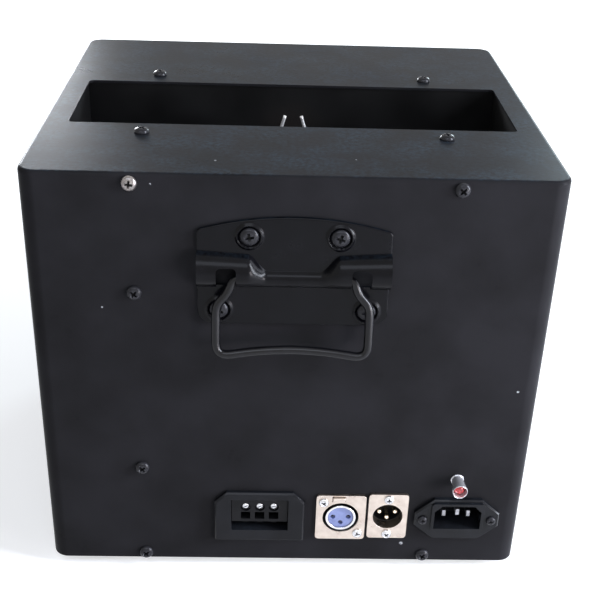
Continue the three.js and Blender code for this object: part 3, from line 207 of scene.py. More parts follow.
# Cover
# The case's top and walls are one folded and welded sheet of 1.5 mm steel in satin black powder coat. The
# coat has a fine orange peel, dust and a painted bluish sheen on the top, and a few chips along the front.
coat_colour = (0.0160, 0.0158, 0.0172)
coat_light_colour = (0.0215, 0.0212, 0.0238)
coat_roughness = 0.31
coat_specular = 0.022
# The next colour is partly real dust and partly a painted bluish sheen on faces that look up.
dust_and_sheen_colour = (0.036, 0.056, 0.078)
# The next two set the painted shade in screw recesses: its near black colour and its dull roughness.
recess_shade_colour = (0.004, 0.004, 0.004)
recess_shade_roughness = 0.8
chip_colour = (0.42, 0.43, 0.45)
relief_distance = 0.0002
tone_band = (0.35, 0.65)
shine_band = (0.3, 0.7)
rub_band = (0.45, 0.8)
chip_band = (0.4, 0.5)
chip_grain = 900.0
weld_gap = 0.000003
flat_angle = math.radians(0.5)

case_low, case_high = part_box("cover")
chips = [
    ((0.0676, case_low.y, 0.0125), 0.0013), ((-0.0704, case_low.y, 0.2345), 0.0006),
    ((0.1225, case_low.y, 0.1188), 0.0008), ((0.1305, case_low.y, 0.1235), 0.0011),
    ((-0.0971, case_low.y, 0.1665), 0.0006), ((0.0300, -0.0960, case_high.z), 0.0006),
    ((0.118, -0.030, case_high.z), 0.0009), ((-0.0400, -0.101, case_high.z), 0.0007)]


def node_group(name, inputs, outputs):
    """A shader node group with named sockets, each given as (name, kind): the group and its two ends."""
    group = bpy.data.node_groups.new(name, "ShaderNodeTree")
    for direction, sockets in (("INPUT", inputs), ("OUTPUT", outputs)):
        for socket, kind in sockets:
            group.interface.new_socket(socket, in_out=direction, socket_type="NodeSocket" + kind)
    return group, group.nodes.new("NodeGroupInput").outputs, group.nodes.new("NodeGroupOutput").inputs


# Surface relief: soft waves with a finer grain on them, and broad patches of tone
relief, given, wanted = node_group(
    "relief", [("Vector", "Vector"), ("Patch", "Float"), ("Wave", "Float"), ("Grain", "Float"),
               ("Grain Share", "Float")], [("Height", "Float"), ("Tone", "Float")])
relief_wave = noise(relief, given["Vector"], given["Wave"], Detail=2.0)
relief_grain = noise(relief, given["Vector"], given["Grain"])
relief_height = add_node(relief, "Math", {0: relief_grain, 1: given["Grain Share"], 2: relief_wave},
                         operation="MULTIPLY_ADD").outputs["Value"]
relief.links.new(relief_height, wanted["Height"])
relief.links.new(noise(relief, given["Vector"], given["Patch"], Detail=5.0), wanted["Tone"])

# Dust and painted sheen: fine light bluish specks on faces that look up, thicker in patches, partly real dust
# and partly a painted sheen on the top.
dust_and_sheen, given, wanted = node_group("dust_and_sheen", [("Vector", "Vector"), ("Amount", "Float")], [("Mask", "Float")])
dust_and_sheen_facing = add_node(dust_and_sheen, "SeparateXYZ", {"Vector": add_node(dust_and_sheen, "NewGeometry").outputs["Normal"]})
dust_and_sheen_speck = noise(dust_and_sheen, given["Vector"], 420.0, Detail=6.0, Roughness=0.72)
dust_and_sheen_patch = noise(dust_and_sheen, given["Vector"], 46.0, Detail=5.0)
dust_and_sheen_mask = combined(dust_and_sheen, "MULTIPLY", spread(dust_and_sheen, dust_and_sheen_facing.outputs["Z"], 0.8, 0.99),
                     spread(dust_and_sheen, dust_and_sheen_speck, 0.38, 0.66))
dust_and_sheen_mask = combined(dust_and_sheen, "MULTIPLY", dust_and_sheen_mask, spread(dust_and_sheen, dust_and_sheen_patch, 0.40, 0.62, 0.25))
dust_and_sheen.links.new(combined(dust_and_sheen, "MULTIPLY", dust_and_sheen_mask, given["Amount"]), wanted["Mask"])


def surface(name, low, high, roughness, metallic=0.0, specular=0.5, scales=(38, 420, 2600),
            grain_share=0.35, height=0.1, swing=0.14, stretch=(1, 1, 1), dust_and_sheen_amount=0.0, bare=None, tint=None):
    """A finish with patches of tone and shine, fine relief at three scales, and dust with a painted bluish
    sheen on faces that look up. It can show bare metal where the piece's wear attribute says so, paint shade
    into the recesses that its recess attribute marks, and take a tint from a function."""
    material, tree, shader, output = new_material(name)
    place = add_node(tree, "TexCoord").outputs["Object"]
    drawn = add_node(tree, "Mapping", {"Vector": place, "Scale": stretch}).outputs["Vector"]
    patch, wave, grain = scales
    made = add_node(tree, "Group", {"Vector": drawn, "Patch": patch, "Wave": wave, "Grain": grain,
                                    "Grain Share": grain_share}, node_tree=relief).outputs
    colour = mixed(tree, spread(tree, made["Tone"], *tone_band), low, high)
    shine = spread(tree, made["Tone"], *shine_band, roughness * (1 - swing), roughness * (1 + swing))
    if bare:
        ragged = spread(tree, made["Height"], *rub_band, 0.5, 1)
        worn = add_node(tree, "Attribute", attribute_name="wear").outputs["Fac"]
        worn = combined(tree, "MULTIPLY", worn, ragged)
        tree.links.new(spread(tree, worn, 0, 1, metallic, 1), shader.inputs["Metallic"])
        # Painted shade: the recess attribute turns the colour near black and the surface dull in screw
        # recesses.
        recess_shade_mask = add_node(tree, "Attribute", attribute_name="recess").outputs["Fac"]
        colour = mixed(tree, recess_shade_mask, mixed(tree, worn, colour, bare), recess_shade_colour)
        shine = combined(tree, "MAXIMUM", shine, spread(tree, recess_shade_mask, 0, 1, 0, recess_shade_roughness))
    else:
        shader.inputs["Metallic"].default_value = metallic
    if tint:
        colour = tint(tree, place, made["Tone"], colour)
    # Light bluish specks on faces that look up: partly real dust, partly painted sheen.
    if dust_and_sheen_amount:
        lying = add_node(tree, "Group", {"Vector": place, "Amount": dust_and_sheen_amount}, node_tree=dust_and_sheen).outputs
        colour = mixed(tree, lying["Mask"], colour, dust_and_sheen_colour)
    tree.links.new(colour, shader.inputs["Base Color"])
    tree.links.new(shine, shader.inputs["Roughness"])
    shader.inputs["Specular IOR Level"].default_value = specular
    bump = add_node(tree, "Bump", {"Height": made["Height"], "Strength": height, "Distance": relief_distance})
    tree.links.new(bump.outputs["Normal"], shader.inputs["Normal"])
    return material


def chipped(material):
    """Chips in the cover's coat: small ragged spots of bare steel."""
    tree = material.node_tree
    shader = next(node for node in tree.nodes if node.type == "BSDF_PRINCIPLED")
    place = add_node(tree, "TexCoord").outputs["Object"]
    spots = 0.0
    for centre, radius in chips:
        gap = add_node(tree, "VectorMath", {0: place, 1: centre}, operation="DISTANCE").outputs["Value"]
        spots = combined(tree, "MAXIMUM", spots, spread(tree, gap, radius * 0.6, radius, 1, 0))
    ragged = spread(tree, noise(tree, place, chip_grain), *chip_band)
    coat = shader.inputs["Base Color"].links[0].from_socket
    chips_colour = mixed(tree, combined(tree, "MULTIPLY", spots, ragged), coat, chip_colour)
    tree.links.new(chips_colour, shader.inputs["Base Color"])
    return material


bodies = frame["record"]["behaviour"]["bodies"]
body_of = {node: body for body, nodes in bodies.items() for node in nodes}


def add_piece(name, mesh, material, node, stands_for=True):
    """A finished mesh as a piece of the object, on the body of a node that it may replace."""
    piece = bpy.data.objects.new(name, mesh)
    bpy.context.scene.collection.objects.link(piece)
    mesh.materials.clear()
    mesh.materials.append(material)
    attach(piece, body_of[node])
    if stands_for:
        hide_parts(node)
    return piece


def node_form(node):
    """A copy of a node's mesh, and a form made from it with its corners joined."""
    mesh = frame["nodes"][node].data.copy()
    form = bmesh.new()
    form.from_mesh(mesh)
    bmesh.ops.remove_doubles(form, verts=form.verts, dist=weld_gap)
    return mesh, form


def smoothed(mesh, form, sharp):
    """A form written into a mesh, smooth but for its sharp edges."""
    for face in form.faces:
        face.smooth = True
    form.to_mesh(mesh)
    form.free()
    mesh.set_sharp_from_angle(angle=math.radians(sharp))
    return mesh


def welded_copy(node, sharp=32):
    """A node's mesh with its corners joined and its flat faces whole, so that its curves shade smoothly."""
    mesh, form = node_form(node)
    bmesh.ops.dissolve_limit(form, angle_limit=flat_angle, verts=form.verts, edges=form.edges)
    return smoothed(mesh, form, sharp)


def soften_edges(piece, softness, segments=2, sharp=32):
    """Small rounded edges on a piece, with its flat faces kept flat in shading."""
    edges = piece.modifiers.new("edges", "BEVEL")
    edges.width = softness
    edges.segments = segments
    edges.limit_method = "ANGLE"
    edges.angle_limit = math.radians(sharp)
    piece.modifiers.new("normals", "WEIGHTED_NORMAL").keep_sharp = True


def dress(node, name, material, softness, segments=2, sharp=32):
    """A node's own shape with softened edges and a finish."""
    piece = add_piece(name, welded_copy(node, sharp), material, node)
    soften_edges(piece, softness, segments, sharp)
    return piece


cover_coat = surface(
    "cover_powder_coat", coat_colour, coat_light_colour, coat_roughness, specular=coat_specular,
    scales=(30, 420, 2600), height=0.16, dust_and_sheen_amount=0.7)
dress("cover", "cover_sheet", chipped(cover_coat), softness=0.0004)


# Case screws
# Pan head M4 screws with a cross recess, black zinc plated. Two hold the head of the front wall, four its
# and the back wall's feet, four the top, and two the partition. The one at the top left is worn bright.
seat_gap = 0.0001
recess_share = 0.6
recess_width_share = 0.30
recess_depth_share = 0.72
slot_share = 1.3
slot_depth_share = 0.4
# How strongly painted shade darkens a screw's recess
recess_shade_strength = 0.9
rim_wear = 0.22
crown_wear = 0.30
dome_foot = 0.10
dome_fullness = 0.62
dome_steps = 9
screw_steps = 40
bar_overrun = 1.1
bar_foot_length = 0.35
bar_foot_width = 0.7
# A screw's head radius, head height, shank radius and shank length
case_screw = (0.004, 0.0026, 0.002, 0.008)

draw = random.Random(11)
on_front = Matrix(((1, 0, 0, 0), (0, 0, -1, case_low.y), (0, 1, 0, 0), (0, 0, 0, 1)))
on_back = Matrix(((-1, 0, 0, 0), (0, 0, 1, case_high.y), (0, 1, 0, 0), (0, 0, 0, 1)))
on_top = Matrix.Translation((0, 0, case_high.z))
on_base = Matrix.Identity(4)


def place_on(wall, node, out=0.0):
    """The place over a node's middle at a height out of a wall, with x to the right, y up and z out of it."""
    low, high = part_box(node)
    middle = wall.inverted() @ ((low + high) / 2)
    return wall @ Matrix.Translation((middle.x, middle.y, out))


def spun(profile, steps=screw_steps):
    """A form turned about Z from a profile of (radius, height) pairs."""
    form = bmesh.new()
    corners = [form.verts.new((radius, 0, height)) for radius, height in profile]
    for pair in zip(corners, corners[1:]):
        form.edges.new(pair)
    bmesh.ops.spin(form, geom=form.verts[:] + form.edges[:], cent=(0, 0, 0), axis=(0, 0, 1),
                   angle=math.tau, steps=steps, use_merge=True)
    bmesh.ops.remove_doubles(form, verts=form.verts, dist=1e-7)
    bmesh.ops.recalc_face_normals(form, faces=form.faces)
    return form


def mesh_of(form, name, place=Matrix.Identity(4), sharp=35):
    """A form made a mesh, in its place."""
    bmesh.ops.transform(form, matrix=place, verts=form.verts)
    return smoothed(bpy.data.meshes.new(name), form, sharp)


def carved(mesh, tools, sharp=35):
    """A mesh with other meshes cut out of it."""
    whole = bpy.data.objects.new("carving", mesh)
    bpy.context.scene.collection.objects.link(whole)
    cutters = []
    for tool in tools:
        cutter = bpy.data.objects.new("cutter", tool)
        bpy.context.scene.collection.objects.link(cutter)
        cut = whole.modifiers.new("cut", "BOOLEAN")
        cut.operation = "DIFFERENCE"
        cut.solver = "EXACT"
        cut.object = cutter
        cutters.append(cutter)
    bpy.context.view_layer.update()
    graph = bpy.context.evaluated_depsgraph_get()
    result = bpy.data.meshes.new_from_object(whole.evaluated_get(graph))
    for spent in [whole, *cutters]:
        bpy.data.objects.remove(spent)
    result.materials.clear()
    result.set_sharp_from_angle(angle=math.radians(sharp))
    return result


def marked(mesh, name, rule):
    """Writes a value for each point of a mesh, by a rule of its place, as an attribute."""
    layer = mesh.attributes.new(name, "FLOAT", "POINT")
    for point in mesh.vertices:
        layer.data[point.index].value = rule(point.co)
    return mesh


def step_up(value, low, high):
    """0 below one value, 1 above another, and smooth between."""
    share = min(1.0, max(0.0, (value - low) / (high - low)))
    return share * share * (3 - 2 * share)


def recess_bar(turn, half, width, top, depth):
    """One bar of a cross recess, narrower at its foot."""
    form = bmesh.new()
    made = bmesh.ops.create_cube(form, size=1)
    for point in made["verts"]:
        foot = point.co.z < 0
        point.co.x *= 2 * half * (bar_foot_length if foot else bar_overrun)
        point.co.y *= width * (bar_foot_width if foot else bar_overrun)
        point.co.z = top - depth if foot else top + depth / 3
    return mesh_of(form, "recess", Matrix.Rotation(turn, 4, "Z"))


def pan_screw(head, rise, shank, length, turn, slotted=False):
    """A pan head screw on Z with its seat at zero, a cross or plain slot in its head, its wear marked, and
    its recess marked for painted shade.
    """
    profile = [(0, -length), (shank, -length), (shank, 0), (head * 0.96, 0), (head, rise * 0.06)]
    for i in range(dome_steps + 1):
        angle = math.pi / 2 * i / dome_steps
        profile.append((head * math.cos(angle) ** dome_fullness,
                        rise * (dome_foot + (1 - dome_foot) * math.sin(angle))))
    half = head * (slot_share if slotted else recess_share)
    depth = rise * (slot_depth_share if slotted else recess_depth_share)
    turns = [turn] if slotted else [turn, turn + math.pi / 2]
    bars = [recess_bar(angle, half, head * recess_width_share, rise, depth) for angle in turns]
    mesh = carved(mesh_of(spun(profile), "screw"), bars)

    def wear(point):
        out = math.hypot(point.x, point.y)
        crown = crown_wear * step_up(point.z, rise * 0.8, rise)
        return rim_wear * step_up(out, head * 0.7, head * 0.97) + crown

    # The recess below the dome, marked for painted shade
    def recess(point):
        out = math.hypot(point.x, point.y)
        if out >= half or point.z <= 0:
            return 0.0
        dome = rise * (dome_foot + (1 - dome_foot) * math.sqrt(max(0.0, 1 - (out / head) ** 3.2)))
        return recess_shade_strength * step_up(dome - point.z, rise * 0.05, rise * 0.2)

    return marked(marked(mesh, "wear", wear), "recess", recess)


def seat_screw(node, wall, sheet, sizes, material):
    """A screw in place of its node, its head just over the sheet that it holds to the wall."""
    mesh = pan_screw(*sizes, draw.uniform(0, math.pi / 2))
    mesh.transform(place_on(wall, node, sheet + seat_gap))
    return add_piece(node.replace("screw", "pan_screw"), mesh, material, node)


black_plating = surface(
    "black_zinc_screw", (0.007, 0.007, 0.009), (0.014, 0.014, 0.018), 0.24, specular=0.22,
    scales=(900, 1800, 6000), height=0.08, bare=(0.10, 0.10, 0.11))
worn_plating = surface(
    "worn_screw", (0.15, 0.14, 0.14), (0.30, 0.27, 0.26), 0.28, metallic=0.90, scales=(900, 1800, 6000),
    height=0.12, bare=(0.66, 0.63, 0.60))
case_screws = [("column_screw_" + place, on_front) for place in ("lower", "upper")]
for side in ("left", "right"):
    case_screws += [("front_top_screw_" + side, on_front), ("front_bottom_screw_" + side, on_front),
                    ("back_bottom_screw_" + side, on_back), ("top_screw_near_" + side, on_top),
                    ("top_screw_far_" + side, on_top)]
for node, wall in case_screws:
    plating = worn_plating if node == "front_top_screw_left" else black_plating
    seat_screw(node, wall, 0, case_screw, plating)


# Handle plate
# Pressed steel in gloss black enamel. Two half-round ears hold the bail's ends, a lower hump joins them, and
# the four screws sit in raised rings. The sheet is drawn by one height rule, then the windows that let the
# bail out of the ears, its bearings and the screw holes are cut.
plate_half = 0.0485
plate_below = 0.0316
plate_crown = 0.0284
plate_arch = 0.0065
plate_low_corner = 0.008
plate_high_corner = 0.003
plate_sheet = 0.0018
plate_back = 0.0001
plate_rim = 0.0007
ear_radius = 0.010
ear_inner_radius = 0.0092
neck_radius = 0.0047
ear_inner_end = 0.0235
neck_end = 0.0130
ear_wall = 0.0008
bearing_end = 0.0275
hump_fillet = 0.0014
hump_foot_outside = 0.0008
hump_foot_inside = 0.0016
window_inner = 0.0288
window_outer = 0.0388
window_top = 0.0034
window_corner = 0.0022
window_overrun = 0.002
boss_places = [(-0.0225, 0.0181), (0.0225, 0.0181), (-0.0376, -0.0229), (0.0376, -0.0229)]
boss_rise = 0.0012
boss_foot = 0.0076
boss_crown = 0.0060
boss_inside = 0.0050
screw_bore = 0.0028
bore_start = -0.001
bore_end = 0.003
pivot_drop = 0.0037
pivot_out = 0.0042
pivot_inner_end = 0.0242
bearing_bore = 0.0028
bearing_overrun = 0.001
handle_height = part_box("handle_plate")[1].z - plate_crown
column_step = 0.00045
rim_steps = [0, 0.08, 0.3, 0.6, 1]
band_rows = [36, 12, 30, 12, 34]
side_steps = 120

low_x = plate_half - plate_low_corner
low_y = plate_low_corner - plate_below
high_x = plate_half - plate_high_corner
high_y = plate_crown - plate_arch


def plate_bottom(x):
    """The plate's lower edge at x: straight, with round corners."""
    past = abs(x) - low_x
    return -plate_below if past <= 0 else low_y - math.sqrt(max(0.0, plate_low_corner ** 2 - past ** 2))


def plate_top(x):
    """The plate's upper edge at x: one low arch, with small round corners."""
    past = abs(x) - high_x
    if past > 0:
        return high_y - plate_high_corner * (1 - math.sqrt(max(0.0, 1 - (past / plate_high_corner) ** 2)))
    return high_y + (plate_crown - high_y) * (1 - (x / high_x) ** 2)


def hump_radius(x):
    """The radius of the pressed hump at x: small between the ears, and growing to their ends."""
    out = abs(x)
    along = max(0.0, out - ear_inner_end) / (plate_half - ear_inner_end)
    ear = ear_inner_radius + (ear_radius - ear_inner_radius) * along
    return neck_radius + (ear - neck_radius) * step_up(out, neck_end, ear_inner_end)


def arch_height(x, y, wall=0.0):
    """The height of the round hump, its lower edge level with the ears' lower edge."""
    radius = hump_radius(x)
    across = y - (radius - ear_radius)
    inside = (radius - wall) ** 2 - across ** 2
    return math.sqrt(inside) if inside > 0 else 0.0


def plate_face(x, y, to_edge):
    """The height of the plate's outer face."""
    arch = arch_height(x, y)
    share = min(1.0, max(0.0, 0.5 + 0.5 * (arch - plate_sheet) / hump_fillet))
    height = plate_sheet + (arch - plate_sheet) * share + hump_fillet * share * (1 - share)
    for centre_x, centre_y in boss_places:
        out = math.hypot(x - centre_x, y - centre_y)
        ring = step_up(out, boss_inside, boss_crown) * (1 - step_up(out, boss_crown, boss_foot))
        height += boss_rise * ring
    if to_edge < plate_rim and arch < plate_sheet:
        height -= plate_rim - math.sqrt(plate_rim ** 2 - (plate_rim - to_edge) ** 2)
    return height


def plate_inside(x, y):
    """The height of the plate's inner face: flat, but hollow under the ears and the neck."""
    hollow = abs(x) > bearing_end or abs(x) < neck_end
    return max(plate_back, arch_height(x, y, ear_wall)) if hollow else plate_back


def in_steps(start, end, count):
    """Even steps from one value to another, without the first."""
    return [start + (end - start) * i / count for i in range(1, count + 1)]


def plate_rows(x):
    """The heights up the plate at x, close together at its edges and at the foot of the hump."""
    bottom, top = plate_bottom(x), plate_top(x)
    hump_top = 2 * hump_radius(x) - ear_radius
    stops = [bottom + plate_rim, -ear_radius - hump_foot_outside, -ear_radius + hump_foot_inside,
             hump_top - hump_foot_inside, hump_top + hump_foot_outside, top - plate_rim]
    rows = [bottom + share * plate_rim for share in rim_steps]
    for start, end, count in zip(stops, stops[1:], band_rows):
        rows += in_steps(start, end, count)
    return rows + [top - share * plate_rim for share in reversed(rim_steps[:-1])]


plate_columns = [share * plate_rim - plate_half for share in rim_steps]
plate_columns += in_steps(plate_rim - plate_half, plate_half - plate_rim, round(2 * plate_half / column_step))
plate_columns += [plate_half - share * plate_rim for share in reversed(rim_steps[:-1])]
rows_at = [plate_rows(x) for x in plate_columns]
row_count = len(rows_at[0]) - 1
column_count = len(plate_columns) - 1

edge_points = [(x, y) for x in plate_columns for y in (plate_bottom(x), plate_top(x))]
side_heights = in_steps(plate_bottom(plate_half), plate_top(plate_half), side_steps)
edge_points += [(side * plate_half, y) for side in (-1, 1) for y in side_heights]
edge_tree = KDTree(len(edge_points))
for i, (x, y) in enumerate(edge_points):
    edge_tree.insert((x, y, 0), i)
edge_tree.balance()

plate_form = bmesh.new()
bmesh.ops.create_grid(plate_form, x_segments=column_count, y_segments=row_count, size=0.5)
plate_front_form = plate_form.verts[:] + plate_form.edges[:] + plate_form.faces[:]
plate_back_form = bmesh.ops.duplicate(plate_form, geom=plate_front_form)["geom"]
back_points = {item for item in plate_back_form if isinstance(item, bmesh.types.BMVert)}
back_faces = [item for item in plate_back_form if isinstance(item, bmesh.types.BMFace)]
bmesh.ops.reverse_faces(plate_form, faces=back_faces)
for point in plate_form.verts:
    column = round((point.co.x + 0.5) * column_count)
    x = plate_columns[column]
    y = rows_at[column][round((point.co.y + 0.5) * row_count)]
    to_edge = edge_tree.find((x, y, 0))[2]
    height = plate_inside(x, y) if point in back_points else plate_face(x, y, to_edge)
    point.co = (x, y, height)
bmesh.ops.bridge_loops(plate_form, edges=[edge for edge in plate_form.edges if edge.is_boundary])
bmesh.ops.recalc_face_normals(plate_form, faces=plate_form.faces)


def bar_form(radius, start, end, steps=24):
    """A plain round bar along Z between two heights, used as a cutter."""
    return spun([(0, start), (radius, start), (radius, end), (0, end)], steps)


plate_tools = []
for side in (-1, 1):
    window = bmesh.new()
    bmesh.ops.create_cube(window, size=1)
    upright = [edge for edge in window.edges if abs(edge.verts[0].co.z - edge.verts[1].co.z) > 0.5]
    window_height = window_top + ear_radius + window_overrun
    bmesh.ops.scale(window, vec=(window_outer - window_inner, window_height, ear_radius), verts=window.verts)
    bmesh.ops.bevel(window, geom=upright, offset=window_corner, affect="EDGES", segments=5, profile=0.5,
                    material=-1)
    centre = (side * (window_inner + window_outer) / 2, window_top - window_height / 2,
              plate_sheet + seat_gap + ear_radius / 2)
    plate_tools.append(mesh_of(window, "window", Matrix.Translation(centre)))
    bearing = Matrix.Translation((0, -pivot_drop, pivot_out)) @ Matrix.Rotation(side * math.pi / 2, 4, "Y")
    bearing_form = bar_form(bearing_bore, pivot_inner_end, bearing_end + bearing_overrun)
    plate_tools.append(mesh_of(bearing_form, "bearing", bearing))
for centre_x, centre_y in boss_places:
    bore = Matrix.Translation((centre_x, centre_y, 0))
    plate_tools.append(mesh_of(bar_form(screw_bore, bore_start, bore_end), "bore", bore))
plate_mesh = carved(mesh_of(plate_form, "plate"), plate_tools, sharp=50)
plate_mesh.transform(on_front @ Matrix.Translation((0, handle_height, 0)))
enamel = surface(
    "black_enamel", (0.0020, 0.0020, 0.0030), (0.0035, 0.0035, 0.0050), 0.22, specular=0.14,
    scales=(90, 260, 1500), grain_share=0.2, dust_and_sheen_amount=0.35)
add_piece("handle_pressed_plate", plate_mesh, enamel, "handle_plate")


# Handle screws
# Four M5 pan head screws hold the pressed plate to the front wall. They have the case screws' black plating,
# and sit in the plate's raised rings.
handle_screw = (0.00475, 0.0022, 0.0025, 0.009)
for height in ("upper", "lower"):
    for side in ("left", "right"):
        seat_screw(f"handle_screw_{height}_{side}", on_front, plate_sheet, handle_screw, black_plating)


# Bail
# One bent steel rod in black enamel, a little glossier than the plate's. Its two ends turn in the bearings
# of the plate's ears.
rod_levels = 2
rod_join_angle = 50
rod_join_shape = 70
rod_end_angle = 60


def smooth_rod(node, name, material):
    """A bent rod or pipe made round from its node's many-sided one, with its ends kept flat."""
    mesh, form = node_form(node)
    bmesh.ops.join_triangles(form, faces=form.faces, angle_face_threshold=math.radians(rod_join_angle),
                             angle_shape_threshold=math.radians(rod_join_shape))
    crease = form.edges.layers.float.new("crease_edge")
    for edge in form.edges:
        if edge.calc_face_angle(0) > math.radians(rod_end_angle):
            edge[crease] = 1
    piece = add_piece(name, smoothed(mesh, form, rod_end_angle), material, node)
    rounding = piece.modifiers.new("round", "SUBSURF")
    rounding.levels = rod_levels
    rounding.render_levels = rod_levels


bail_enamel = surface(
    "bail_enamel", (0.004, 0.004, 0.005), (0.007, 0.007, 0.009), 0.18, specular=0.30,
    scales=(120, 300, 1500), grain_share=0.2, height=0.06)
smooth_rod("handle_bail", "handle_bail_rod", bail_enamel)


# Terminal block
# A glossy black moulding with cut upper corners frames a three-way clamp terminal. Nickel screws sit in round
# wells over the wire entries, and clamp plates show inside the entries.
terminal_pitch = 0.008
clamp_screw = (0.0020, 0.0009, 0.00198, 0.0012)
clamp_screw_lift = 0.0048
clamp_screw_turn = 0.5
clamp_plate_size = (0.0042, 0.0011, 0.003)
clamp_plate_edge = 0.0002
clamp_plate_lift = 0.0004
clamp_plate_out = -0.0026

frame_moulding = surface(
    "terminal_frame_moulding", (0.0075, 0.0078, 0.0095), (0.011, 0.0115, 0.014), 0.20, specular=0.15,
    scales=(70, 300, 1800), height=0.06, dust_and_sheen_amount=0.25)
block_moulding = surface(
    "terminal_block_moulding", (0.005, 0.005, 0.006), (0.009, 0.009, 0.010), 0.38, specular=0.14,
    scales=(120, 600, 3000), height=0.12)
dress("terminal_frame", "terminal_frame_moulding", frame_moulding, softness=0.0002)
dress("terminal_block", "terminal_block_moulding", block_moulding, softness=0.00014)
nickel_screw = surface(
    "nickel_screw", (0.60, 0.60, 0.62), (0.82, 0.82, 0.84), 0.20, metallic=1.0, scales=(700, 1500, 5000),
    height=0.08, bare=(0.85, 0.85, 0.86))
terminal_place = place_on(on_front, "terminal_block")
for way in (1, 2, 3):
    x = (way - 2) * terminal_pitch
    cap = pan_screw(*clamp_screw, draw.uniform(-clamp_screw_turn, clamp_screw_turn), True)
    cap.transform(terminal_place @ Matrix.Translation((x, clamp_screw_lift, 0)))
    add_piece(f"terminal_clamp_screw_{way}", cap, nickel_screw, "terminal_block", False)
    clamp_form = bmesh.new()
    bmesh.ops.create_cube(clamp_form, size=1)
    bmesh.ops.scale(clamp_form, vec=clamp_plate_size, verts=clamp_form.verts)
    bmesh.ops.bevel(clamp_form, geom=clamp_form.edges[:], offset=clamp_plate_edge, affect="EDGES", segments=2,
                    profile=0.5, material=-1)
    clamp_place = terminal_place @ Matrix.Translation((x, clamp_plate_lift, clamp_plate_out))
    clamp = mesh_of(clamp_form, "clamp_plate", clamp_place)
    add_piece(f"terminal_clamp_plate_{way}", clamp, nickel_screw, "terminal_block", False)


# Control output
# A pressed plate in champagne nickel with a black-lined barrel. A bright sleeve holds the blue-grey insert
# with its three contact tubes, their nickel darkened as painted shade, and a spring latch shows above.
socket_sheet = 0.002
socket_steps = 64
sleeve_outer = 0.0086
sleeve_inner = 0.0073
sleeve_proud = 0.0026
sleeve_back = -0.012
sleeve_edge = 0.0003
sleeve_lip = 0.0001
insert_radius = 0.0072
insert_front = 0.0018
insert_back = -0.021
insert_edge = 0.0004
contact_tube = 0.00135
contact_bore = 0.00095
contact_gap = 0.0001
contact_spread = 0.0044
contact_lift = 0.0004
contact_drop = 0.004
contact_sunk = 0.0018
contact_flare = 0.0004
contact_length = 0.0105
contact_hole = 0.011
contact_overrun = 0.001
contact_steps = 24
lining_radius = 0.01036
lining_wall = 0.0003
lining_back = -0.019
lining_front = 0.0014
lining_round = 0.0002

champagne = surface(
    "champagne_nickel", (0.62, 0.53, 0.46), (0.74, 0.65, 0.57), 0.30, metallic=1.0, scales=(180, 900, 4000),
    dust_and_sheen_amount=0.15)
chrome = surface(
    "bright_chrome", (0.80, 0.80, 0.82), (0.88, 0.88, 0.90), 0.12, metallic=1.0, scales=(220, 800, 3600),
    height=0.03)
insert_blue = surface(
    "insert_moulding", (0.19, 0.23, 0.45), (0.25, 0.30, 0.55), 0.30, scales=(200, 900, 3600), height=0.08)
# Black for the inserts and the output's lining, and painted shade as the input's deep sleeve.
barrel_black_and_shade = surface(
    "barrel_black_and_painted_shade", (0.004, 0.004, 0.004), (0.007, 0.007, 0.008), 0.5, specular=0.3,
    scales=(200, 900, 3600))


def turned(name, profile, steps, place, material, node, stands_for=True):
    """A piece turned from a profile, in its place."""
    add_piece(name, mesh_of(spun(profile, steps), name, place), material, node, stands_for)


dress("output_socket_shell", "output_socket_plate", champagne, softness=0.00025)
dress("output_socket_latch", "output_socket_latch_tab", champagne, softness=0.0006, segments=3)
female_place = place_on(on_front, "output_socket_insert")

sleeve_round = sleeve_proud - sleeve_lip
sleeve_straight = sleeve_round - sleeve_edge
sleeve_profile = [
    (sleeve_inner, sleeve_back), (sleeve_inner, sleeve_straight),
    (sleeve_inner + sleeve_edge, sleeve_round), ((sleeve_inner + sleeve_outer) / 2, sleeve_proud),
    (sleeve_outer - sleeve_edge, sleeve_round), (sleeve_outer, sleeve_straight),
    (sleeve_outer, sleeve_back), (sleeve_inner, sleeve_back)]
turned("output_socket_sleeve", sleeve_profile, socket_steps, female_place, chrome, "output_socket_insert",
       False)
lining_inside = lining_radius - lining_wall
lining_floor = lining_back + lining_wall
lining_profile = [
    (lining_radius, lining_back), (lining_radius, lining_front),
    (lining_inside, lining_front - lining_round), (lining_inside, lining_floor),
    (sleeve_outer, lining_floor), (sleeve_outer, lining_back), (lining_radius, lining_back)]
turned("output_socket_lining", lining_profile, socket_steps, female_place, barrel_black_and_shade,
       "output_socket_shell", False)
contacts = [(-contact_spread, contact_lift), (contact_spread, contact_lift), (0, contact_lift - contact_drop)]
insert_profile = [
    (0, insert_back), (insert_radius, insert_back), (insert_radius, insert_front - insert_edge),
    (insert_radius - insert_edge, insert_front), (0, insert_front)]
hole_span = (insert_front - contact_hole, insert_front + contact_overrun)
holes = [mesh_of(bar_form(contact_tube + contact_gap, *hole_span), "hole", Matrix.Translation((x, y, 0)))
         for x, y in contacts]
insert = carved(mesh_of(spun(insert_profile, socket_steps), "insert"), holes)
insert.transform(female_place)
add_piece("output_socket_insert_core", insert, insert_blue, "output_socket_insert")
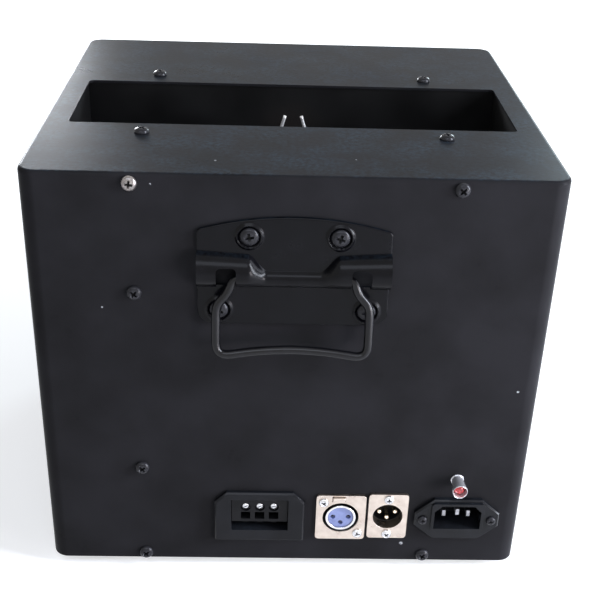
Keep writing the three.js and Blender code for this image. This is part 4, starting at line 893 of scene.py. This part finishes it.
# The contact tubes' nickel is darkened as painted shade, for the shade down in their holes.
contact_shaded_nickel = surface(
    "contact_shaded_nickel", (0.10, 0.10, 0.13), (0.16, 0.16, 0.20), 0.3, metallic=1.0, scales=(700, 1500, 5000),
    height=0.06)
contact_back = insert_front - contact_length
contact_front = insert_front - contact_sunk
contact_profile = [
    (contact_bore, contact_back), (contact_bore, contact_front - contact_flare),
    (contact_tube, contact_front), (contact_tube, contact_back), (contact_bore, contact_back)]
for i, (x, y) in enumerate(contacts):
    place = female_place @ Matrix.Translation((x, y, 0))
    turned(f"output_contact_{i + 1}", contact_profile, contact_steps, place, contact_shaded_nickel,
           "output_socket_insert", False)


# Control input
# The same champagne plate over its barrel, lined deeper in with a black sleeve as painted shade. Its moulded
# insert is black, and holds three gilt pins with rounded tips.
pin_radius = 0.00135
pin_spread = 0.0045
pin_lift = 0.0009
pin_drop = 0.0042
pin_front = -0.0005
pin_foot = -0.0105
pin_steps = 28
pin_tip_steps = 6
male_insert_radius = 0.0083
male_insert_back = -0.014
male_insert_front = -0.010
male_insert_edge = 0.0003
male_shade_sleeve_radius = 0.00856
male_shade_sleeve_wall = 0.00022
male_shade_sleeve_back = -0.0138
male_shade_sleeve_front = -0.0048
plate_screw = (0.0029, 0.0018, 0.0015, 0.007)


def dome(radius, rise, foot, steps):
    """The profile of a rounded tip, from its foot to its top on the axis."""
    angles = in_steps(0, math.pi / 2, steps)
    return [(radius * math.cos(angle), foot + rise * math.sin(angle)) for angle in angles]


dress("input_plug_shell", "input_plug_plate", champagne, softness=0.00025)
male_place = place_on(on_front, "input_plug_insert")
male_insert_profile = [
    (0, male_insert_back), (male_insert_radius, male_insert_back),
    (male_insert_radius, male_insert_front - lining_round),
    (male_insert_radius - male_insert_edge, male_insert_front), (0, male_insert_front)]
turned("input_plug_insert_core", male_insert_profile, socket_steps, male_place, barrel_black_and_shade,
       "input_plug_insert")
# A black sleeve down the bore past its lit front, as painted shade.
male_shade_sleeve_inside = male_shade_sleeve_radius - male_shade_sleeve_wall
male_shade_sleeve_profile = [
    (male_shade_sleeve_radius, male_shade_sleeve_back), (male_shade_sleeve_radius, male_shade_sleeve_front),
    (male_shade_sleeve_inside, male_shade_sleeve_front - lining_round), (male_shade_sleeve_inside, male_shade_sleeve_back),
    (male_shade_sleeve_radius, male_shade_sleeve_back)]
turned("input_plug_shade_sleeve", male_shade_sleeve_profile, socket_steps, male_place, barrel_black_and_shade,
       "input_plug_shell", False)
gilt = surface(
    "gilt_pin", (0.90, 0.82, 0.64), (0.96, 0.90, 0.76), 0.2, metallic=1.0, scales=(700, 1500, 5000),
    height=0.05)
pin_profile = [(0, pin_foot), (pin_radius, pin_foot), (pin_radius, pin_front - pin_radius)]
pin_profile += dome(pin_radius, pin_radius, pin_front - pin_radius, pin_tip_steps)
pins = [(-pin_spread, pin_lift), (pin_spread, pin_lift), (0, pin_lift - pin_drop)]
for i, (x, y) in enumerate(pins):
    place = male_place @ Matrix.Translation((x, y, 0))
    turned(f"input_pin_{i + 1}", pin_profile, pin_steps, place, gilt, "input_plug_insert", False)
for connector in ("output_socket", "input_plug"):
    for height in ("upper", "lower"):
        seat_screw(f"{connector}_screw_{height}", on_front, socket_sheet, plate_screw, nickel_screw)


# Mains inlet
# A black moulding with a chamfered flange for two screws and a raised shroud. Three nickel blades stand in
# its cavity, their nickel darkened as painted shade.
inlet_flange = 0.003
inlet_screw = (0.0028, 0.0018, 0.0015, 0.007)
blade_half = 0.0011
blade_pitch = 0.007
blade_reach = 0.0025
blade_foot = -0.0105
blade_rise = 0.0034
blade_spread = 0.0043

inlet_moulding = surface(
    "inlet_moulding", (0.0075, 0.008, 0.0095), (0.011, 0.0115, 0.014), 0.20, specular=0.18,
    scales=(80, 300, 1800), height=0.06, dust_and_sheen_amount=0.2)
# The blades' nickel is darkened as painted shade, for the shade in the cavity.
blade_shaded_nickel = surface(
    "blade_shaded_nickel", (0.34, 0.34, 0.36), (0.46, 0.46, 0.48), 0.34, metallic=1.0, scales=(700, 1500, 5000),
    height=0.08)
inlet_place = place_on(on_front, "mains_inlet")


def second_finish(piece, material, rule):
    """Gives a second finish to the faces of a piece whose middles a rule takes."""
    piece.data.materials.append(material)
    for face in piece.data.polygons:
        if rule(face.center):
            face.material_index = 1


def on_blade(middle):
    """Whether a place is on one of the three blades."""
    spot = inlet_place.inverted() @ middle
    across = min(abs(spot.x - place * blade_pitch) for place in (-1, 0, 1))
    along = blade_foot < spot.z < blade_reach
    return across < blade_half and abs(spot.y - blade_rise) < blade_spread and along


inlet = add_piece("mains_inlet_moulding", welded_copy("mains_inlet"), inlet_moulding, "mains_inlet")
second_finish(inlet, blade_shaded_nickel, on_blade)
soften_edges(inlet, softness=0.0003)
for side in ("left", "right"):
    seat_screw("inlet_screw_" + side, on_front, inlet_flange, inlet_screw, black_plating)


# Indicator lamp
# A flared barrel of bright chromed brass, whose threaded neck goes through the front wall. A domed red lens
# sits down in its cup.
lamp_bore = 0.0018
lamp_collar = 0.0037
lamp_collar_height = 0.0007
lamp_waist = 0.0033
lamp_waist_end = 0.0030
lamp_flare_start = 0.0050
lamp_flare = 0.0043
lamp_flare_end = 0.0094
lamp_wall = 0.0006
lamp_edge = 0.0002
lamp_reach = 0.0115
lamp_cup_floor = 0.004
lamp_cup_flare = 0.0070
lamp_neck = 0.003
lamp_tail = 0.010
lamp_steps = 64
lens_foot = 0.0016
lens_shoulder = 0.0026
lens_radius = 0.0031
lens_top = 0.0104
lens_rise = 0.0022
lens_steps = 48
lens_dome_steps = 10

lamp_place = place_on(on_front, "lamp_bezel")
lamp_profile = [
    (lamp_bore, -lamp_tail), (lamp_neck, -lamp_tail), (lamp_neck, seat_gap), (lamp_collar, seat_gap),
    (lamp_collar, lamp_collar_height - lamp_edge), (lamp_collar - lamp_edge, lamp_collar_height),
    (lamp_waist, lamp_collar_height), (lamp_waist, lamp_waist_end),
    (lamp_waist + lamp_edge, lamp_flare_start), (lamp_flare - lamp_edge, lamp_flare_end),
    (lamp_flare, lamp_reach - 4 * lamp_edge), (lamp_flare - 0.6 * lamp_edge, lamp_reach - lamp_edge),
    (lamp_flare - lamp_wall / 2, lamp_reach),
    (lamp_flare - lamp_wall + lamp_edge / 2, lamp_reach - lamp_edge),
    (lamp_flare - lamp_wall, lamp_reach - 3 * lamp_edge),
    (lamp_waist - lamp_wall + 2.5 * lamp_edge, lamp_cup_flare), (lamp_waist - lamp_wall, lamp_cup_floor),
    (lamp_bore, lamp_cup_floor), (lamp_bore, -lamp_tail)]
barrel_nickel = surface(
    "lamp_barrel_nickel", (0.62, 0.62, 0.64), (0.78, 0.78, 0.80), 0.24, metallic=0.65, specular=0.8,
    scales=(300, 1200, 4000), height=0.05)
turned("lamp_bezel_barrel", lamp_profile, lamp_steps, lamp_place, barrel_nickel, "lamp_bezel")
lens_seat = lamp_cup_floor + lamp_edge
lens_profile = [(0, -lamp_tail), (lens_foot, -lamp_tail), (lens_foot, lens_seat), (lens_shoulder, lens_seat),
                (lens_radius, lens_top - lens_rise)]
lens_profile += dome(lens_radius, lens_rise, lens_top - lens_rise, lens_dome_steps)
red_lens, tree, shader, output = new_material("red_lens")
lens_swirl = noise(tree, add_node(tree, "TexCoord").outputs["Object"], 500.0)
lens_colour = mixed(tree, spread(tree, lens_swirl, *tone_band), (0.42, 0.008, 0.012), (0.62, 0.02, 0.028))
tree.links.new(lens_colour, shader.inputs["Base Color"])
tree.links.new(spread(tree, lens_swirl, *shine_band, 0.06, 0.12), shader.inputs["Roughness"])
shader.inputs["Subsurface Weight"].default_value = 0.3
shader.inputs["Subsurface Scale"].default_value = 0.002
shader.inputs["Coat Weight"].default_value = 0.6
turned("lamp_lens_dome", lens_profile, lens_steps, lamp_place, red_lens, "lamp_lens")


# Burner
# The deck and its welded trough are steel in heat-proof black, sooted and straw-tempered round the jet. The
# white ceramic block holds two steel electrodes over the brass nozzle.
nozzle_hex = 0.008
nozzle_hex_height = 0.006
nozzle_hex_edge = 0.0005
nozzle_height = 0.030
nozzle_base = 0.0055
nozzle_base_top = 0.008
nozzle_edge = 0.0006
nozzle_tip = 0.0026
nozzle_tip_edge = 0.0004
nozzle_taper_end = 0.026
nozzle_bore = 0.0011
nozzle_stem_radius = 0.004
nozzle_stem = 0.009
nozzle_steps = 48
temper_colour = (0.030, 0.020, 0.016)
temper_start = 0.012
temper_reach = 0.045
temper_band = (0.4, 0.6)


nozzle_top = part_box("nozzle")[1].z
nozzle_place = place_on(on_base, "nozzle", nozzle_top - nozzle_height)
jet = place_on(on_base, "nozzle", nozzle_top).translation


def tempered(tree, place, tone, colour):
    """A straw temper colour in patches round the jet."""
    gap = add_node(tree, "VectorMath", {0: place, 1: jet}, operation="DISTANCE").outputs["Value"]
    heat = spread(tree, gap, temper_start, temper_reach, 1, 0)
    heat = combined(tree, "MULTIPLY", heat, spread(tree, tone, *temper_band))
    return mixed(tree, heat, colour, temper_colour)


burner_black = surface(
    "burner_black", (0.0028, 0.0028, 0.003), (0.0050, 0.0050, 0.0054), 0.52, specular=0.22,
    scales=(26, 350, 2200), height=0.2, swing=0.1923, dust_and_sheen_amount=0.35, tint=tempered)
dress("burner_deck", "burner_deck_trough", burner_black, softness=0.0003)

ceramic = surface(
    "glazed_ceramic", (0.70, 0.67, 0.60), (0.80, 0.78, 0.72), 0.30, scales=(60, 240, 1500), height=0.06,
    dust_and_sheen_amount=0.2)
dress("electrode_block", "electrode_ceramic", ceramic, softness=0.0006, segments=3)
electrode_steel = surface(
    "electrode_steel", (0.66, 0.64, 0.63), (0.82, 0.81, 0.80), 0.30, metallic=0.35, scales=(160, 900, 4000),
    height=0.05)
for side in ("left", "right"):
    smooth_rod("electrode_" + side, f"electrode_{side}_rod", electrode_steel)

brass = surface(
    "turned_brass", (0.46, 0.31, 0.11), (0.60, 0.43, 0.18), 0.28, metallic=1.0, scales=(120, 700, 3000),
    height=0.08, stretch=(1, 1, 6))
nozzle_profile = [
    (nozzle_bore, -nozzle_stem), (nozzle_stem_radius, -nozzle_stem), (nozzle_stem_radius, nozzle_edge),
    (nozzle_base, nozzle_hex_height), (nozzle_base, nozzle_base_top),
    (nozzle_base - nozzle_edge, nozzle_base_top + nozzle_edge),
    (nozzle_tip + 2 * nozzle_tip_edge, nozzle_taper_end),
    (nozzle_tip + nozzle_tip_edge, nozzle_height - 2 * nozzle_tip_edge),
    (nozzle_tip - nozzle_tip_edge, nozzle_height), (nozzle_bore, nozzle_height), (nozzle_bore, -nozzle_stem)]
nozzle_form = spun(nozzle_profile, nozzle_steps)
hexagon = bmesh.ops.create_cone(nozzle_form, segments=6, cap_ends=True, radius1=nozzle_hex,
                                radius2=nozzle_hex, depth=nozzle_hex_height,
                                matrix=Matrix.Translation((0, 0, nozzle_hex_height / 2)))
hex_edges = list({edge for point in hexagon["verts"] for edge in point.link_edges})
bmesh.ops.bevel(nozzle_form, geom=hex_edges, offset=nozzle_hex_edge, affect="EDGES", segments=2, profile=0.5,
                material=-1)
add_piece("nozzle_jet", mesh_of(nozzle_form, "jet", nozzle_place), brass, "nozzle")


# Feet and base tray
# A folded, zinc plated steel tray closes the case from below. Four moulded rubber buttons hold in it by their
# barbed studs.
foot_height = 0.006
foot_radius = 0.010
foot_neck = 0.003
foot_barb = 0.0039
foot_recess = 0.0004
foot_stud = 0.0056
foot_edge = 0.0002
foot_steps = 56
tray_sheet = 0.0015
zinc = surface(
    "zinc_plate", (0.44, 0.45, 0.46), (0.58, 0.58, 0.57), 0.34, metallic=1.0, scales=(55, 220, 1400))
rubber = surface(
    "foot_rubber", (0.009, 0.009, 0.009), (0.016, 0.016, 0.016), 0.72, specular=0.35,
    scales=(140, 700, 2600), height=0.25, dust_and_sheen_amount=0.2)
dress("base_tray", "base_tray_sheet", zinc, softness=0.0002)
foot_profile = [
    (0, -foot_height), (foot_radius - 0.0030, -foot_height), (foot_radius - 0.0018, -foot_height + 0.0003),
    (foot_radius - 0.0012, -foot_height + 0.0011), (foot_radius - foot_edge, foot_recess - 0.0010),
    (foot_radius, foot_recess - foot_edge), (foot_radius - foot_edge, foot_recess),
    (foot_neck, foot_recess), (foot_neck, tray_sheet + seat_gap), (foot_barb, tray_sheet + seat_gap),
    (foot_neck - 0.0010, foot_stud - 0.0004), (foot_neck - 0.0016, foot_stud), (0, foot_stud)]
for end in ("front", "back"):
    for side in ("left", "right"):
        node = f"foot_{end}_{side}"
        turned(node + "_button", foot_profile, foot_steps, place_on(on_base, node), rubber, node)


# Can door
# A sheet of the same coated steel with a folded pull, where the gas can goes in. It hangs on a pinned hinge,
# and a ferrite magnet holds it shut.
door_coat = surface(
    "door_powder_coat", coat_colour, coat_light_colour, coat_roughness, specular=coat_specular,
    scales=(30, 420, 2600), height=0.16)
hinge_steel = surface(
    "hinge_black_steel", (0.012, 0.012, 0.013), (0.022, 0.022, 0.024), 0.32, metallic=0.7,
    scales=(90, 500, 2600))
ferrite = surface(
    "ferrite", (0.02, 0.02, 0.021), (0.035, 0.034, 0.034), 0.55, scales=(200, 800, 3000), height=0.2)
dress("can_door", "can_door_sheet", door_coat, softness=0.0004)
dress("door_hinge", "door_hinge_leaf", hinge_steel, softness=0.0003)
dress("door_magnet", "door_magnet_block", ferrite, softness=0.0004)


# Gas can and its fittings
# A tinplate aerosol can with rolled seams stands in a spring steel clip. A turned brass adapter presses on
# its stem, and bent copper pipe leads the gas to the valve.
can_radius = 0.026
can_body = 0.150
can_shoulder = 0.012
can_cup_radius = 0.0125
can_cup = 0.004
can_stem_radius = 0.002
can_stem = 0.006
can_stem_bore = 0.0010
can_waist = 0.0006
can_seam = 0.0030
can_steps = 96
cup_foot = can_body + can_shoulder
cup_top = cup_foot + can_cup
stem_top = cup_top + can_stem

tinplate = surface(
    "tinplate", (0.62, 0.61, 0.58), (0.74, 0.73, 0.70), 0.24, metallic=1.0, scales=(40, 180, 1600),
    height=0.05, stretch=(1, 1, 0.2))
can_bottom = [
    (0, 0.0030), (0.0200, 0.0018), (can_radius - 0.0024, 0.0004), (can_radius - 0.0010, 0),
    (can_radius, can_waist), (can_radius, can_seam)]
can_side = [(can_radius - can_waist, can_seam + can_waist), (can_radius - can_waist, can_body - can_seam)]
can_top = [
    (can_radius, can_body - 0.0024), (can_radius, can_body - can_waist), (can_radius - 0.0008, can_body),
    (can_radius - 0.0022, can_body - 0.0004), (can_radius - 0.0060, can_body + 0.0042)]
can_valve_cup = [
    (can_cup_radius + 0.0030, cup_foot - 0.0022), (can_cup_radius - 0.0004, cup_foot),
    (can_cup_radius, cup_foot + 0.0012), (can_cup_radius, cup_top - 0.0008),
    (can_cup_radius - 0.0008, cup_top), (can_cup_radius - 0.0022, cup_top - 0.0004),
    (can_cup_radius - 0.0030, cup_top - 0.0024), (0.0045, cup_top - 0.0024), (0.0038, cup_top - 0.0006)]
can_valve_stem = [
    (can_stem_radius + 0.0004, cup_top), (can_stem_radius, cup_top + 0.0006), (can_stem_radius, stem_top),
    (can_stem_bore, stem_top), (can_stem_bore, cup_top - 0.0010), (0, cup_top - 0.0010)]
can_form = spun(can_bottom + can_side + can_top + can_valve_cup + can_valve_stem, can_steps)
can_mesh = mesh_of(can_form, "can", place_on(on_base, "gas_can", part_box("gas_can")[0].z), 40)
add_piece("gas_can_tinplate", can_mesh, tinplate, "gas_can")
spring_steel = surface(
    "spring_steel", (0.30, 0.30, 0.31), (0.42, 0.42, 0.42), 0.32, metallic=1.0, scales=(60, 300, 2000),
    height=0.08)
dress("can_clip", "can_clip_band", spring_steel, softness=0.0002, sharp=40)
dress("can_valve_adapter", "can_valve_adapter_cap", brass, softness=0.0005, segments=3)
copper = surface(
    "bent_copper", (0.52, 0.21, 0.11), (0.66, 0.32, 0.19), 0.26, metallic=1.0, scales=(60, 400, 2400),
    height=0.06)
smooth_rod("gas_pipe", "gas_pipe_copper", copper)
dress("partition", "partition_sheet", zinc, softness=0.0002)


# Gas valve
# A brass valve block over a coil potted in black resin. The steel plunger inside lifts to let the gas
# through.
valve_brass_height = 0.0198
coil_potting = surface(
    "coil_potting", (0.008, 0.008, 0.009), (0.013, 0.013, 0.014), 0.42, specular=0.45,
    scales=(90, 500, 2600), height=0.15)
valve = dress("gas_valve", "gas_valve_block", coil_potting, softness=0.0005)
valve_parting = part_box("gas_valve")[1].z - valve_brass_height
second_finish(valve, brass, lambda middle: middle.z > valve_parting)
dress("valve_plunger", "valve_plunger_core", spring_steel, softness=0.0004)


# Electrics
# A power supply in a steel cage, a lacquered control board with relays, and a potted ignition module. Two red
# silicone leads go from the module to the electrodes.
board_card_height = 0.0098
supply_steel = surface(
    "supply_cage", (0.40, 0.41, 0.42), (0.52, 0.52, 0.52), 0.38, metallic=1.0, scales=(40, 200, 1500),
    stretch=(1, 8, 1))
dress("power_supply", "power_supply_cage", supply_steel, softness=0.0006)
board_green = surface(
    "board_lacquer", (0.012, 0.085, 0.028), (0.018, 0.115, 0.040), 0.28, scales=(160, 700, 2600))
relay_case = surface(
    "relay_case", (0.012, 0.016, 0.030), (0.020, 0.026, 0.046), 0.35, scales=(120, 600, 2600), height=0.08)
board = dress("control_board", "control_board_card", board_green, softness=0.0003)
board_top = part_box("control_board")[0].z + board_card_height
second_finish(board, relay_case, lambda middle: middle.z > board_top)
dress("ignition_module", "ignition_module_potting", coil_potting, softness=0.0008, segments=3)
silicone = surface(
    "red_silicone", (0.26, 0.030, 0.020), (0.34, 0.045, 0.030), 0.5, scales=(120, 500, 2400), height=0.12)
for side in ("left", "right"):
    smooth_rod("ignition_lead_" + side, f"ignition_lead_{side}_wire", silicone)
